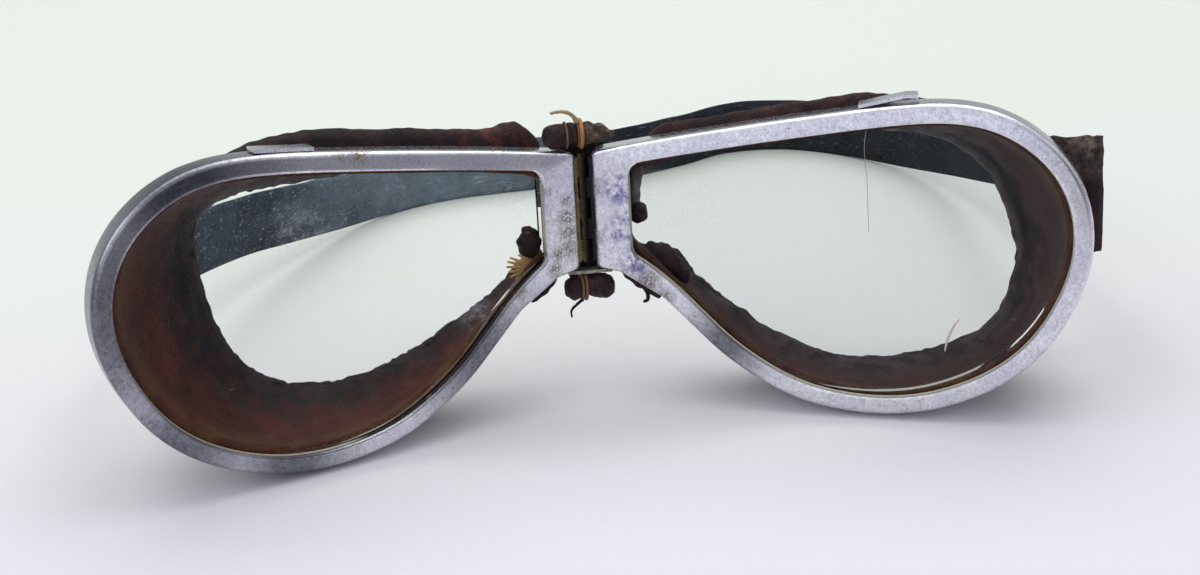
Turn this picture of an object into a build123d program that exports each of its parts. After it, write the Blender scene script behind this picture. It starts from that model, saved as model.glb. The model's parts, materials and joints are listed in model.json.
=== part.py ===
from build123d import *
from math import cos, hypot, radians, sin, tan
import os

os.makedirs("parts", exist_ok=True)

# Folding flying goggles: two flat rims joined by a hinge at the bridge, standing on the floor as they are left
# after use. They rest on both rims and on the far side of the strap. All lengths are in millimetres.

# Stance
fold_half_angle = 18.5
lean_angle = 9.0

# Opening of the right rim, seen from the front: across from the nose edge of the rim, then up
opening_points = (
    (6.8, 10.6), (10.0, 11.2), (16.0, 12.15), (24.0, 13.3), (32.0, 14.4), (40.0, 15.4),
    (48.0, 16.35), (56.0, 17.1), (62.0, 17.3), (67.0, 16.9), (72.0, 15.6), (77.0, 12.9),
    (81.5, 8.7), (84.5, 3.5), (85.8, -2.5), (85.4, -8.5), (83.2, -15.0), (79.2, -21.7),
    (74.0, -26.8), (67.5, -30.5), (60.0, -32.9), (52.0, -33.6), (44.5, -32.8), (37.5, -30.8),
    (31.0, -27.3), (25.0, -22.8), (19.5, -17.3), (14.5, -12.2), (10.0, -8.4), (6.8, -6.2),
)
nose_edge = 6.8
corner_radius = 1.8

# Rim
rim_width = 3.4
rim_wall = 0.7
band_thickness = 0.9
rim_crown = 1.3
crown_steps = 4
lip_thickness = 0.6
lip_reach = 1.6
bar_top = 13.0
bar_bottom = 8.9
bar_foot = 4.5
bar_foot_drop = 0.9
shoulder_start = 1
shoulder_end = 28

# Glass and what holds it
packing_thickness = 0.5
packing_inset = 0.15
ring_outset = 2.5
lens_thickness = 1.4
lens_overlap = 0.6
lens_slip_right = (-1.3, 1.5)
lens_slip_left = (0.9, 0.9)
flange_thickness = 1.2
back_frame_thickness = 2.2
back_frame_opening = 1.2

# Leather masks
mask_wall = 1.3
mask_outset = 0.05
mask_nose_depth = 12.0
mask_tilt = 8.5
mask_points_used = (2, 4, 6, 8, 10, 12, 14, 16, 18, 20, 22, 24, 26, 28)
mask_nose_low = -2.5
mask_nose_high = 8.0
rear_edge_right = (
    (18.0, 9.5), (32.0, 11.5), (46.0, 12.3), (58.0, 11.5), (66.0, 8.5), (71.5, 3.0), (75.2, -6.5),
    (76.2, -15.0), (71.5, -25.8), (59.0, -31.0), (44.0, -31.3), (31.5, -26.2), (19.5, -17.0),
    (13.5, -9.5), (11.0, -3.5), (11.5, 5.5),
)
rear_edge_left = (
    (18.0, 9.0), (32.0, 10.8), (44.0, 11.2), (55.0, 10.5), (62.5, 8.5), (65.5, 4.5), (65.6, -3.0),
    (63.8, -12.0), (60.0, -20.5), (53.5, -25.5), (44.0, -27.1), (34.5, -25.8), (23.0, -20.6),
    (12.5, -13.5), (10.0, -6.0), (10.0, 4.0),
)
trim_depth = 2.2
trim_extra = 0.3
tear_bottom_right = -5.0
tear_bottom_left = -1.5
tear_reach_right = 44.0
tear_reach_left = 36.0
tear_slant = 20.0
tear_depth = 30.0
tear_top = 22.0

# Leather welt behind the top of each rim
welt_thickness_right = 3.0
welt_thickness_left = 5.5
welt_inset = 0.7
welt_outset_right = 5.0
welt_outset_left = 6.0
welt_round = 0.9
welt_first = 1
welt_last = 11

# Spring tongue over the split of each rim
tongue_start = 48.5
tongue_length = 10.5
tongue_tip = 2.0
tongue_thickness = 0.6
tongue_tip_drop = 0.5
tongue_front = 1.6
tongue_width = 4.2
tongue_clearance = 0.08
tongue_base = 19.86
tongue_slope = 5.3
tongue_lift_right = 6.0
tongue_lift_left = 0.0

# Hinge in the bridge
hinge_gap = 2.1
hinge_depth = 2.5
leaf_thickness = 0.5
leaf_front = 1.2
leaf_width = 4.6
leaf_margin = 1.2
knuckle_radius = 0.8
knuckle_arm = 0.5
knuckle_count = 5
knuckle_clearance = 0.1
pin_radius = 0.4
pin_clearance = 0.03
pin_head_radius = 0.75
pin_head_thickness = 0.4

# Leather, thread and metal strip of the bridge
strip_reach = 7.4
strip_thickness = 1.1
strip_clearance = 0.1
strip_top = 12.0
strip_bottom = 8.0
roll_radius = 2.2
roll_tip_radius = 1.3
roll_depth = 2.8
upper_roll_gap = 0.42
upper_roll_left = 6.4
upper_roll_right = 5.0
lower_roll_left = 3.6
lower_roll_right = 4.0
thread_radius = 0.3
thread_clearance = 0.18
upper_thread_places = (-2.7, -0.55, 0.06)
lower_thread_places = (-1.2, -0.55)
upper_tail_points = ((-0.6, 2.6), (-1.6, 3.0), (-2.4, 3.9), (-3.8, 4.5), (-5.7, 4.6))
lower_tail_points = ((-1.2, -2.6), (-3.0, -2.95), (-3.8, -3.5), (-4.0, -4.7))
edge_strip_thickness = 0.6
edge_strip_width = 2.6
edge_strip_left = 3.4
edge_strip_right = 4.6
edge_strip_gap = 0.25
edge_strip_rim_gap = 0.27

# Strap, tabs and slider
strap_width = 13.0
strap_thickness = 1.4
tab_inner_points_right = ((78.5, 13.0), (82.6, 9.0), (85.6, 3.0), (86.9, -3.0), (86.9, -8.0))
tab_inner_points_left = ((82.3, 2.0), (83.0, -2.5), (82.6, -8.5), (81.6, -12.0))
tab_bend_right = 90.6
tab_bend_left = 84.6
tab_thickness = 1.8
tab_top_right = 13.0
tab_top_left = 2.0
tab_bottom_right = 8.0
tab_bottom_left = 12.0
tab_clearance = 0.15
tab_overlap = 9.0
tab_margin = 1.2
strap_right_anchor = (94.6, -9.0, 30.0)
strap_left_anchor = (-83.5, -8.0, 29.2)
strap_right_end = (98.2, 47.0, 21.0)
strap_left_end = (-83.6, 5.0, 26.6)
strap_far_points = (
    (97.2, 75.0, 12.5), (90.5, 95.0, 7.8), (78.5, 109.4, 6.55), (65.0, 116.8, 6.55), (50.5, 117.0, 6.55),
    (38.0, 111.0, 6.55), (20.0, 104.8, 6.55), (0.0, 103.2, 6.55), (-19.0, 101.0, 6.55),
    (-33.0, 95.4, 6.6), (-45.5, 84.4, 8.3), (-56.5, 70.0, 12.0), (-66.4, 54.0, 16.4), (-77.0, 31.0, 21.4),
)
free_end_length = 34.0
free_end_gap = 0.1
slider_place = 20.0
slider_length = 7.0
slider_wall = 0.9
slider_clearance = 0.25
stitch_length = 1.2
stitch_width = 0.5
stitch_height = 0.35
stitch_pitch = 1.6
stitch_rows = 7
stitch_inset = 2.0

rim_depth = (
    band_thickness + packing_thickness + lens_thickness + flange_thickness + back_frame_thickness + lip_thickness
)
lens_front = band_thickness + packing_thickness
flange_front = lens_front + lens_thickness
back_frame_front = flange_front + flange_thickness
cup_front = back_frame_front
fold_cos = cos(radians(fold_half_angle))
fold_sin = sin(radians(fold_half_angle))
lean_cos = cos(radians(lean_angle))
lean_sin = sin(radians(lean_angle))


def lean_direction(x, y, z):
    """Direction in the upright goggles, turned back with them."""
    return Vector(x, y * lean_cos + z * lean_sin, -y * lean_sin + z * lean_cos)


def side_point(across, up, depth):
    """Point of the right eyecup in the upright goggles, across from the bar's nose edge."""
    reach = across + hinge_gap
    behind = depth - hinge_depth
    return (reach * fold_cos + behind * fold_sin, -reach * fold_sin + behind * fold_cos, up)


def outset(points, distance, closed=False):
    """Points moved to the outside of a clockwise outline."""
    moved = []
    count = len(points)
    for index, (across, up) in enumerate(points):
        before = points[index - 1] if closed or index > 0 else points[index]
        after = points[(index + 1) % count] if closed or index < count - 1 else points[index]
        run = after[0] - before[0]
        rise = after[1] - before[1]
        length = hypot(run, rise)
        moved.append((across - distance * rise / length, up + distance * run / length))
    return moved


# The lowest point of either rim sets how high the hinge stands
floor_level = min(
    lean_direction(*side_point(across, up, depth)).Z
    for across, up in outset(opening_points, rim_width)
    for depth in (rim_crown, rim_depth)
)


def world(x, y, z):
    """Point of the upright goggles, leant back and stood on the floor."""
    return lean_direction(x, y, z) - Vector(0, 0, floor_level)


def face_plane(depth, shift=(0, 0)):
    """Sketch plane parallel to the right rim's face: first axis across, second axis up, normal to the front."""
    return Plane(
        origin=world(*side_point(shift[0], shift[1], depth)),
        x_dir=lean_direction(fold_cos, -fold_sin, 0),
        z_dir=lean_direction(-fold_sin, -fold_cos, 0),
    )


def tilted_plane(depth):
    """Sketch plane of the mask's rear edge, deeper towards the temple."""
    turn = radians(fold_half_angle - mask_tilt)
    return Plane(
        origin=world(*side_point(0, 0, depth)),
        x_dir=lean_direction(cos(turn), -sin(turn), 0),
        z_dir=lean_direction(-sin(turn), -cos(turn), 0),
    )


def hinge_plane(height):
    """Sketch plane square to the hinge axis: first axis to the right, second axis to the rear."""
    return Plane(origin=world(0, 0, height), x_dir=Vector(1, 0, 0), z_dir=lean_direction(0, 0, 1))


def corner_shift(points, place, distance):
    """A nose corner moved so that both edges that meet there move by the distance."""
    other = 1 if place == 0 else -2
    run = points[other][0] - points[place][0]
    rise = points[other][1] - points[place][1]
    if place != 0:
        run, rise = -run, -rise
    length = hypot(run, rise)
    run, rise = run / length, rise / length
    across, up = points[place]
    return (across - distance, up + distance * (1 - rise) / run)


def opening_shape(distance):
    """The opening's outline moved outwards, with rounded nose corners."""
    line_points = outset(opening_points, distance)
    line_points[0] = corner_shift(opening_points, 0, distance)
    line_points[-1] = corner_shift(opening_points, -1, distance)
    with BuildSketch() as shape:
        with BuildLine():
            curve = Spline(*line_points)
            Line(curve @ 1, curve @ 0)
        make_face()
        fillet(shape.vertices().sort_by(Axis.X)[:2], radius=corner_radius)
    return shape.sketch


def rim_shape(distance):
    """The rim's outer outline, or that outline moved inwards when the distance is less than the rim's width."""
    inset = rim_width - distance
    with BuildSketch() as shape:
        with BuildLine():
            curve = Spline(*outset(opening_points, distance)[shoulder_start:shoulder_end])
            Polyline(
                curve @ 1,
                (bar_foot + inset / 2, -bar_bottom - bar_foot_drop + inset),
                (inset, -bar_bottom + inset),
                (inset, bar_top - inset),
                curve @ 0,
            )
        make_face()
    return shape.sketch


def band_shape(inner, outer, first, last):
    """A strip that follows part of the opening."""
    with BuildSketch() as shape:
        with BuildLine():
            inside = Spline(*outset(opening_points, inner)[first:last])
            outside = Spline(*outset(opening_points, outer)[first:last])
            Line(inside @ 0, outside @ 0)
            Line(inside @ 1, outside @ 1)
        make_face()
    return shape.sketch


def polygon(points):
    """A closed outline with straight sides."""
    with BuildSketch() as shape:
        with BuildLine():
            Polyline(*points, close=True)
        make_face()
    return shape.sketch


def smooth_face(points):
    """A closed smooth outline through the points."""
    with BuildSketch() as shape:
        with BuildLine():
            Spline(*points, periodic=True)
        make_face()
    return shape.sketch


def placed(plane, shape):
    """The flat shape on its plane."""
    with BuildSketch(plane) as sketch:
        add(shape)
    return sketch.sketch


def raised(plane, shape, amount, mode=Mode.ADD):
    """The flat shape on its plane, thickened along the plane's normal."""
    return extrude(placed(plane, shape), amount=amount, mode=mode)


def build_rim():
    """Front band with a rounded crown, a side wall and a lip turned in behind the back frame."""
    sections = []
    for step in range(crown_steps + 1):
        turn = radians(90 * step / crown_steps)
        depth = rim_crown * (1 - cos(turn))
        outline = rim_shape(rim_width - rim_crown * (1 - sin(turn)))
        sections.append(placed(face_plane(depth), outline).face())
    loft(sections, ruled=True)
    raised(face_plane(rim_crown), rim_shape(rim_width), rim_crown - rim_depth)
    hollow = rim_depth - band_thickness - lip_thickness
    raised(face_plane(band_thickness), rim_shape(rim_width - rim_wall), -hollow, Mode.SUBTRACT)
    raised(face_plane(rim_depth - lip_thickness), opening_shape(lip_reach), -lip_thickness, Mode.SUBTRACT)
    raised(face_plane(0), opening_shape(0), -band_thickness, Mode.SUBTRACT)


def build_lens(slip):
    """Flat glass, moved in its rim by the slip."""
    raised(face_plane(lens_front, slip), opening_shape(lens_overlap), -lens_thickness)


def build_ring(depth, thickness, inner, outer):
    """A flat ring around the opening."""
    raised(face_plane(depth), opening_shape(outer), -thickness)
    raised(face_plane(depth), opening_shape(inner), -thickness, Mode.SUBTRACT)


def cup_front_points(distance):
    """The mask's outline where it leaves the back frame."""
    moved = outset(opening_points, distance)
    chosen = [moved[index] for index in mask_points_used]
    chosen.append((nose_edge - distance, mask_nose_low))
    chosen.append((nose_edge - distance, mask_nose_high))
    return chosen


def rear_points(table, distance):
    """The rear edge's points on the tilted plane."""
    tilt_cos = cos(radians(mask_tilt))
    return [(across / tilt_cos, up) for across, up in outset(table, distance, closed=True)]


def build_wall(table, step, mode=Mode.ADD):
    """The leather cup as a whole block from the back frame to the rear edge, made smaller by the step."""
    front = placed(face_plane(cup_front), smooth_face(cup_front_points(mask_outset - step)))
    rear = placed(tilted_plane(mask_nose_depth), smooth_face(rear_points(table, -step)))
    loft([front.face(), rear.face()], ruled=True, mode=mode)


def cut_tear(bottom, reach):
    """Takes away the leather that is torn off behind the rim, from the nose to part of the way along the top."""
    plane = Plane(
        origin=world(*side_point(0, bottom, 0)),
        x_dir=lean_direction(fold_cos, -fold_sin, 0),
        z_dir=lean_direction(0, 0, 1),
    )
    tear = polygon((
        (-hinge_gap, rim_depth), (reach, rim_depth), (reach + tear_slant, tear_depth), (-hinge_gap, tear_depth),
    ))
    raised(plane, tear, tear_top - bottom, Mode.SUBTRACT)


def build_mask(table, tear_bottom, tear_reach):
    """Leather cup with a flat flange behind the glass."""
    build_wall(table, 0)
    raised(face_plane(flange_front), opening_shape(ring_outset), -flange_thickness)
    inner = smooth_face(cup_front_points(mask_outset - mask_wall))
    raised(face_plane(flange_front), inner, -flange_thickness, Mode.SUBTRACT)
    build_wall(table, mask_wall, Mode.SUBTRACT)
    cut_tear(tear_bottom, tear_reach)


def build_trim(table, tear_bottom, tear_reach):
    """Worn dark trim on the rear edge of the leather."""
    plane = tilted_plane(mask_nose_depth)
    raised(plane, smooth_face(rear_points(table, trim_extra)), -trim_depth)
    raised(plane, smooth_face(rear_points(table, -mask_wall - trim_extra)), -trim_depth, Mode.SUBTRACT)
    cut_tear(tear_bottom, tear_reach)


def build_welt(outer, thickness):
    """Leather welt behind the top of the rim, standing out above it."""
    body = raised(face_plane(rim_depth), band_shape(welt_inset, outer, welt_first, welt_last), -thickness)
    fillet(body.edges().sort_by(SortBy.LENGTH)[-2:], radius=welt_round)


def build_tongue(lift):
    """Spring strip that lies over the split of the rim, raised about its root."""
    turn = radians(tongue_slope + lift)
    straight = tongue_length - tongue_tip
    drop = tongue_tip_drop * lift / tongue_lift_right

    def at(along, above):
        return (
            tongue_start + along * cos(turn) - above * sin(turn),
            tongue_base + tongue_clearance + along * sin(turn) + above * cos(turn),
        )

    outline = polygon((
        at(0, 0),
        at(straight, 0),
        at(tongue_length, -drop),
        at(tongue_length, tongue_thickness - drop),
        at(straight, tongue_thickness),
        at(0, tongue_thickness),
    ))
    raised(face_plane(tongue_front), outline, -tongue_width)


hinge_bottom = -bar_bottom + leaf_margin
hinge_length = bar_top + bar_bottom - 2 * leaf_margin
knuckle_pitch = hinge_length / knuckle_count


def plan_polygon(points):
    """A closed outline in the hinge plane from points given across and deep on the right side."""
    return polygon([side_point(across, 0, depth)[:2] for across, depth in points])


def disc(radius):
    """A round outline."""
    with BuildSketch() as shape:
        Circle(radius)
    return shape.sketch


def build_leaf(first_knuckle):
    """Brass leaf on the side wall of the bar, with every second knuckle."""
    leaf_rear = leaf_front + leaf_width
    leaf = ((-leaf_thickness, leaf_front), (0, leaf_front), (0, leaf_rear), (-leaf_thickness, leaf_rear))
    raised(hinge_plane(hinge_bottom), plan_polygon(leaf), hinge_length)
    arm_front = hinge_depth - knuckle_arm / 2
    arm_rear = hinge_depth + knuckle_arm / 2
    arm = (
        (-hinge_gap, arm_front), (-leaf_thickness, arm_front),
        (-leaf_thickness, arm_rear), (-hinge_gap, arm_rear),
    )
    for index in range(first_knuckle, knuckle_count, 2):
        level = hinge_plane(hinge_bottom + index * knuckle_pitch + knuckle_clearance / 2)
        raised(level, plan_polygon(arm), knuckle_pitch - knuckle_clearance)
        raised(level, disc(knuckle_radius), knuckle_pitch - knuckle_clearance)
    raised(hinge_plane(hinge_bottom), disc(pin_radius + pin_clearance), hinge_length, Mode.SUBTRACT)


def mirror_all():
    """The same piece for the left side."""
    mirror(about=Plane.YZ, mode=Mode.REPLACE)


# Rims
with BuildPart() as rim_right:
    build_rim()
with BuildPart() as rim_left:
    build_rim()
    mirror_all()

# Glass
with BuildPart() as lens_right:
    build_lens(lens_slip_right)
with BuildPart() as lens_left:
    build_lens(lens_slip_left)
    mirror_all()

# Packing rings
with BuildPart() as lens_packing_right:
    build_ring(band_thickness, packing_thickness, -packing_inset, ring_outset)
with BuildPart() as lens_packing_left:
    build_ring(band_thickness, packing_thickness, -packing_inset, ring_outset)
    mirror_all()

# Back frames
with BuildPart() as back_frame_right:
    build_ring(back_frame_front, back_frame_thickness, back_frame_opening, ring_outset)
with BuildPart() as back_frame_left:
    build_ring(back_frame_front, back_frame_thickness, back_frame_opening, ring_outset)
    mirror_all()

# Masks
with BuildPart() as mask_right:
    build_mask(rear_edge_right, tear_bottom_right, tear_reach_right)
with BuildPart() as mask_left:
    build_mask(rear_edge_left, tear_bottom_left, tear_reach_left)
    mirror_all()
with BuildPart() as mask_trim_right:
    build_trim(rear_edge_right, tear_bottom_right, tear_reach_right)
with BuildPart() as mask_trim_left:
    build_trim(rear_edge_left, tear_bottom_left, tear_reach_left)
    mirror_all()

# Welts
with BuildPart() as welt_right:
    build_welt(welt_outset_right, welt_thickness_right)
with BuildPart() as welt_left:
    build_welt(welt_outset_left, welt_thickness_left)
    mirror_all()

# Tongues
with BuildPart() as closure_tongue_right:
    build_tongue(tongue_lift_right)
with BuildPart() as closure_tongue_left:
    build_tongue(tongue_lift_left)
    mirror_all()

# Hinge
with BuildPart() as hinge_leaf_right:
    build_leaf(1)
with BuildPart() as hinge_leaf_left:
    build_leaf(0)
    mirror_all()
with BuildPart() as hinge_pin:
    raised(hinge_plane(hinge_bottom), disc(pin_radius), hinge_length)
    raised(hinge_plane(hinge_bottom), disc(pin_head_radius), -pin_head_thickness)
    raised(hinge_plane(hinge_bottom + hinge_length), disc(pin_head_radius), pin_head_thickness)

# Leather strip behind the gap
strip_front = rim_depth + strip_clearance
strip_rear = strip_front + strip_thickness


def middle_point(depth):
    """Where the right side's plane at this depth meets the middle of the goggles."""
    return (0, (depth - hinge_depth) / fold_cos)


with BuildPart() as bridge_leather:
    front_right = side_point(strip_reach - hinge_gap, 0, strip_front)[:2]
    rear_right = side_point(strip_reach - hinge_gap, 0, strip_rear)[:2]
    strip_outline = polygon((
        middle_point(strip_front), front_right, rear_right, middle_point(strip_rear),
        (-rear_right[0], rear_right[1]), (-front_right[0], front_right[1]),
    ))
    raised(hinge_plane(-strip_bottom), strip_outline, strip_top + strip_bottom)


# The threaded rolls lie just above and below both bars, with the metal strip between the lower one and the bars
thread_reach = roll_radius + thread_clearance + 2 * thread_radius
upper_roll_height = bar_top + upper_roll_gap + thread_reach
foot_drop_at_strip = bar_foot_drop * (edge_strip_right - hinge_gap) / bar_foot
edge_strip_level = -(bar_bottom + foot_drop_at_strip + edge_strip_rim_gap + edge_strip_thickness)
lower_roll_height = thread_reach + edge_strip_gap - edge_strip_level


def roll_half(height, reach, radius, tip_radius, side):
    """Half of a leather roll, from the middle of the bridge out along one bar."""
    start = world(*middle_point(roll_depth), height)
    tip = side_point(reach - hinge_gap, height, roll_depth)
    end = world(side * tip[0], tip[1], tip[2])
    run = end - start
    thick = placed(Plane(origin=start, z_dir=run), disc(radius))
    thin = placed(Plane(origin=end, z_dir=run), disc(tip_radius))
    loft([thick.face(), thin.face()], ruled=True)
    with Locations(end):
        Sphere(tip_radius)


with BuildPart() as bridge_roll_upper:
    with Locations(world(*middle_point(roll_depth), upper_roll_height)):
        Sphere(roll_radius)
    roll_half(upper_roll_height, upper_roll_right, roll_radius, roll_tip_radius, 1)
    roll_half(upper_roll_height, upper_roll_left, roll_radius, roll_radius, -1)
with BuildPart() as bridge_roll_lower:
    with Locations(world(*middle_point(roll_depth), -lower_roll_height)):
        Sphere(roll_radius)
    roll_half(-lower_roll_height, lower_roll_right, roll_radius, roll_radius, 1)
    roll_half(-lower_roll_height, lower_roll_left, roll_radius, roll_radius, -1)


def build_thread(height, places, tail_points):
    """Turns of thread around a roll, with a loose tail."""
    turn_radius = roll_radius + thread_radius + thread_clearance
    depth = middle_point(roll_depth)[1]
    for place in places:
        spot = world(place, depth - abs(place) * tan(radians(fold_half_angle)), height)
        with Locations(Plane(origin=spot, x_dir=lean_direction(0, 0, 1), z_dir=Vector(1, 0, 0))):
            Torus(turn_radius, thread_radius)
    with BuildLine() as path:
        Spline(*[world(x, depth, height + z) for x, z in tail_points])
    end = placed(Plane(origin=path.line @ 0, z_dir=path.line % 0), disc(thread_radius))
    sweep(end, path=path.line)


with BuildPart() as bridge_thread_upper:
    build_thread(upper_roll_height, upper_thread_places, upper_tail_points)
with BuildPart() as bridge_thread_lower:
    build_thread(-lower_roll_height, lower_thread_places, lower_tail_points)

# Metal strip on the lower roll
with BuildPart() as bridge_edge_strip:
    near = middle_point(roll_depth)[1] - edge_strip_width / 2
    far = near + edge_strip_width
    edge_outline = polygon((
        (-edge_strip_left, near), (edge_strip_right, near), (edge_strip_right, far), (-edge_strip_left, far),
    ))
    raised(hinge_plane(edge_strip_level), edge_outline, edge_strip_thickness)

# Strap
anchor = Vector(*strap_right_anchor)
left_anchor = Vector(*strap_left_anchor)
right_end = Vector(*strap_right_end)
left_end = Vector(*strap_left_end)
upright = Vector(0, 0, 1)


def mirrored(spot):
    """The same place on the other side."""
    return Vector(-spot.X, spot.Y, spot.Z)


right_run = (right_end - anchor).normalized()
left_run = (left_end - left_anchor).normalized()


def band_plane(spot, run):
    """Section plane of the strap: first axis through its thickness to the outside, second axis up its width."""
    return Plane(origin=spot, x_dir=run.cross(upright).normalized(), z_dir=run)


def slab(thickness, width, offset=0):
    """A rectangular section, moved to the outside by the offset."""
    with BuildSketch() as shape:
        with Locations((offset, 0)):
            Rectangle(thickness, width)
    return shape.sketch


layer_pitch = strap_thickness + free_end_gap
with BuildPart() as strap:
    with BuildLine() as far_path:
        Spline(
            right_end, *[Vector(*spot) for spot in strap_far_points], left_end,
            tangents=(right_run, left_run * -1),
        )
    far_line = far_path.line
    section_count = 5 * len(strap_far_points)
    sections = []
    for index in range(section_count + 1):
        place_share = index / section_count
        plane = band_plane(far_line @ place_share, far_line % place_share)
        sections.append(placed(plane, slab(strap_thickness, strap_width)).face())
    loft(sections, ruled=True)
    raised(band_plane(anchor, right_run), slab(strap_thickness, strap_width), (right_end - anchor).length)
    raised(band_plane(left_anchor, left_run), slab(strap_thickness, strap_width), (left_end - left_anchor).length)
    raised(band_plane(anchor, right_run), slab(strap_thickness, strap_width, layer_pitch), free_end_length)
    raised(
        band_plane(anchor, right_run),
        slab(strap_thickness + layer_pitch, strap_width, layer_pitch / 2),
        -strap_thickness,
    )

# Slider around both layers of the strap
slider_inner = layer_pitch + strap_thickness + 2 * slider_clearance
with BuildPart() as strap_slider:
    slider_plane = band_plane(anchor + right_run * (slider_place - slider_length / 2), right_run)
    raised(
        slider_plane,
        slab(
            slider_inner + 2 * slider_wall,
            strap_width + 2 * slider_clearance + 2 * slider_wall,
            layer_pitch / 2,
        ),
        slider_length,
    )
    raised(
        slider_plane,
        slab(slider_inner, strap_width + 2 * slider_clearance, layer_pitch / 2),
        slider_length,
        Mode.SUBTRACT,
    )

# Tabs
tab_depth = rim_depth + tab_clearance
tab_offset = -(strap_thickness / 2 + tab_clearance + tab_thickness / 2)


def build_tab(sewn, inner_points, bend_across, top, bottom):
    """Leather tab behind the rim's outer end, bent back along the inside of the strap to its sewn end."""
    outline = polygon(((bend_across, -bottom), (bend_across, top), *inner_points))
    raised(face_plane(tab_depth), outline, -tab_thickness)
    bend = face_plane(tab_depth + tab_thickness, (bend_across - tab_thickness / 2, (top - bottom) / 2))
    loft([
        placed(bend, slab(tab_thickness, top + bottom)).face(),
        placed(sewn, slab(tab_thickness, strap_width - tab_margin, tab_offset)).face(),
    ], ruled=True)
    raised(sewn, slab(tab_thickness, strap_width - tab_margin, tab_offset), tab_overlap)


def build_stitches(plane):
    """Stitches in two rows on the inner face of the tab."""
    for row_place in (stitch_inset, tab_overlap - stitch_inset):
        for index in range(stitch_rows):
            height = (index - (stitch_rows - 1) / 2) * stitch_pitch
            spot = plane.from_local_coords(
                (tab_offset - tab_thickness / 2 - stitch_height / 2, height, row_place)
            )
            with Locations(Plane(origin=spot, x_dir=plane.x_dir, z_dir=plane.z_dir)):
                Box(stitch_height, stitch_length, stitch_width)


sewn_right = band_plane(anchor, right_run)
sewn_left = band_plane(mirrored(left_anchor), mirrored(left_run))
with BuildPart() as strap_tab_right:
    build_tab(sewn_right, tab_inner_points_right, tab_bend_right, tab_top_right, tab_bottom_right)
with BuildPart() as strap_tab_left:
    build_tab(sewn_left, tab_inner_points_left, tab_bend_left, tab_top_left, tab_bottom_left)
    mirror_all()
with BuildPart() as tab_stitching_right:
    build_stitches(sewn_right)
with BuildPart() as tab_stitching_left:
    build_stitches(sewn_left)
    mirror_all()

pieces = {
    "rim_right": rim_right,
    "rim_left": rim_left,
    "lens_right": lens_right,
    "lens_left": lens_left,
    "lens_packing_right": lens_packing_right,
    "lens_packing_left": lens_packing_left,
    "back_frame_right": back_frame_right,
    "back_frame_left": back_frame_left,
    "mask_right": mask_right,
    "mask_left": mask_left,
    "mask_trim_right": mask_trim_right,
    "mask_trim_left": mask_trim_left,
    "welt_right": welt_right,
    "welt_left": welt_left,
    "closure_tongue_right": closure_tongue_right,
    "closure_tongue_left": closure_tongue_left,
    "hinge_leaf_right": hinge_leaf_right,
    "hinge_leaf_left": hinge_leaf_left,
    "hinge_pin": hinge_pin,
    "bridge_leather": bridge_leather,
    "bridge_roll_upper": bridge_roll_upper,
    "bridge_roll_lower": bridge_roll_lower,
    "bridge_thread_upper": bridge_thread_upper,
    "bridge_thread_lower": bridge_thread_lower,
    "bridge_edge_strip": bridge_edge_strip,
    "strap_tab_right": strap_tab_right,
    "strap_tab_left": strap_tab_left,
    "tab_stitching_right": tab_stitching_right,
    "tab_stitching_left": tab_stitching_left,
    "strap": strap,
    "strap_slider": strap_slider,
}

# The origin is the middle of the bounding box, on the floor
boxes = [piece.part.bounding_box() for piece in pieces.values()]
to_origin = Location((
    -(min(box.min.X for box in boxes) + max(box.max.X for box in boxes)) / 2,
    -(min(box.min.Y for box in boxes) + max(box.max.Y for box in boxes)) / 2,
    -min(box.min.Z for box in boxes),
))
for name, piece in pieces.items():
    solid = piece.part.moved(to_origin)
    solid.label = name
    export_step(solid, f"parts/{name}.step")
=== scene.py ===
"""Looks of the folding flying goggles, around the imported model. Sizes are in millimetres up to the meshes."""

import json
import math

import bmesh
import bpy
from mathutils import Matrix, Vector, noise


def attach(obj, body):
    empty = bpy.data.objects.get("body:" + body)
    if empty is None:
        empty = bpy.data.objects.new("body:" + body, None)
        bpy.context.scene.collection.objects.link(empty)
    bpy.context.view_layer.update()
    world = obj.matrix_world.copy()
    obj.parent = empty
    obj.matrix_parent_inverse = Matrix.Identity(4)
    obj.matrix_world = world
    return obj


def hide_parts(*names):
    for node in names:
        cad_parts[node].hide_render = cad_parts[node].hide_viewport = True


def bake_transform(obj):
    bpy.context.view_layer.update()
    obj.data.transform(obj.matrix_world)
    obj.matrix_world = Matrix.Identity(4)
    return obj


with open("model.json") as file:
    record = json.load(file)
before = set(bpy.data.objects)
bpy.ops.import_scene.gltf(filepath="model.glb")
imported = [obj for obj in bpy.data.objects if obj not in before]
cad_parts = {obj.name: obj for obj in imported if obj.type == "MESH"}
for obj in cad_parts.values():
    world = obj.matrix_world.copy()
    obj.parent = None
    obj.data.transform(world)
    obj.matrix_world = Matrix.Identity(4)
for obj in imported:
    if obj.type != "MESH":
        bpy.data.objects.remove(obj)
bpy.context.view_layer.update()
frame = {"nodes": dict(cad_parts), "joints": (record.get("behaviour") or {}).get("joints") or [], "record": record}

MM = 0.001

# Camera, as solved from the photograph
photo_width = 1200
focal_pixels = 1890
sensor_width = 36
camera_from_hinge = Vector((-39.9, -320.45, 132.4))
camera_right = Vector((0.98906, -0.14455, -0.02936))
camera_up = Vector((0.08689, 0.41014, 0.90787))
camera_forward = Vector((0.1192, 0.9005, -0.4182))

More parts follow.
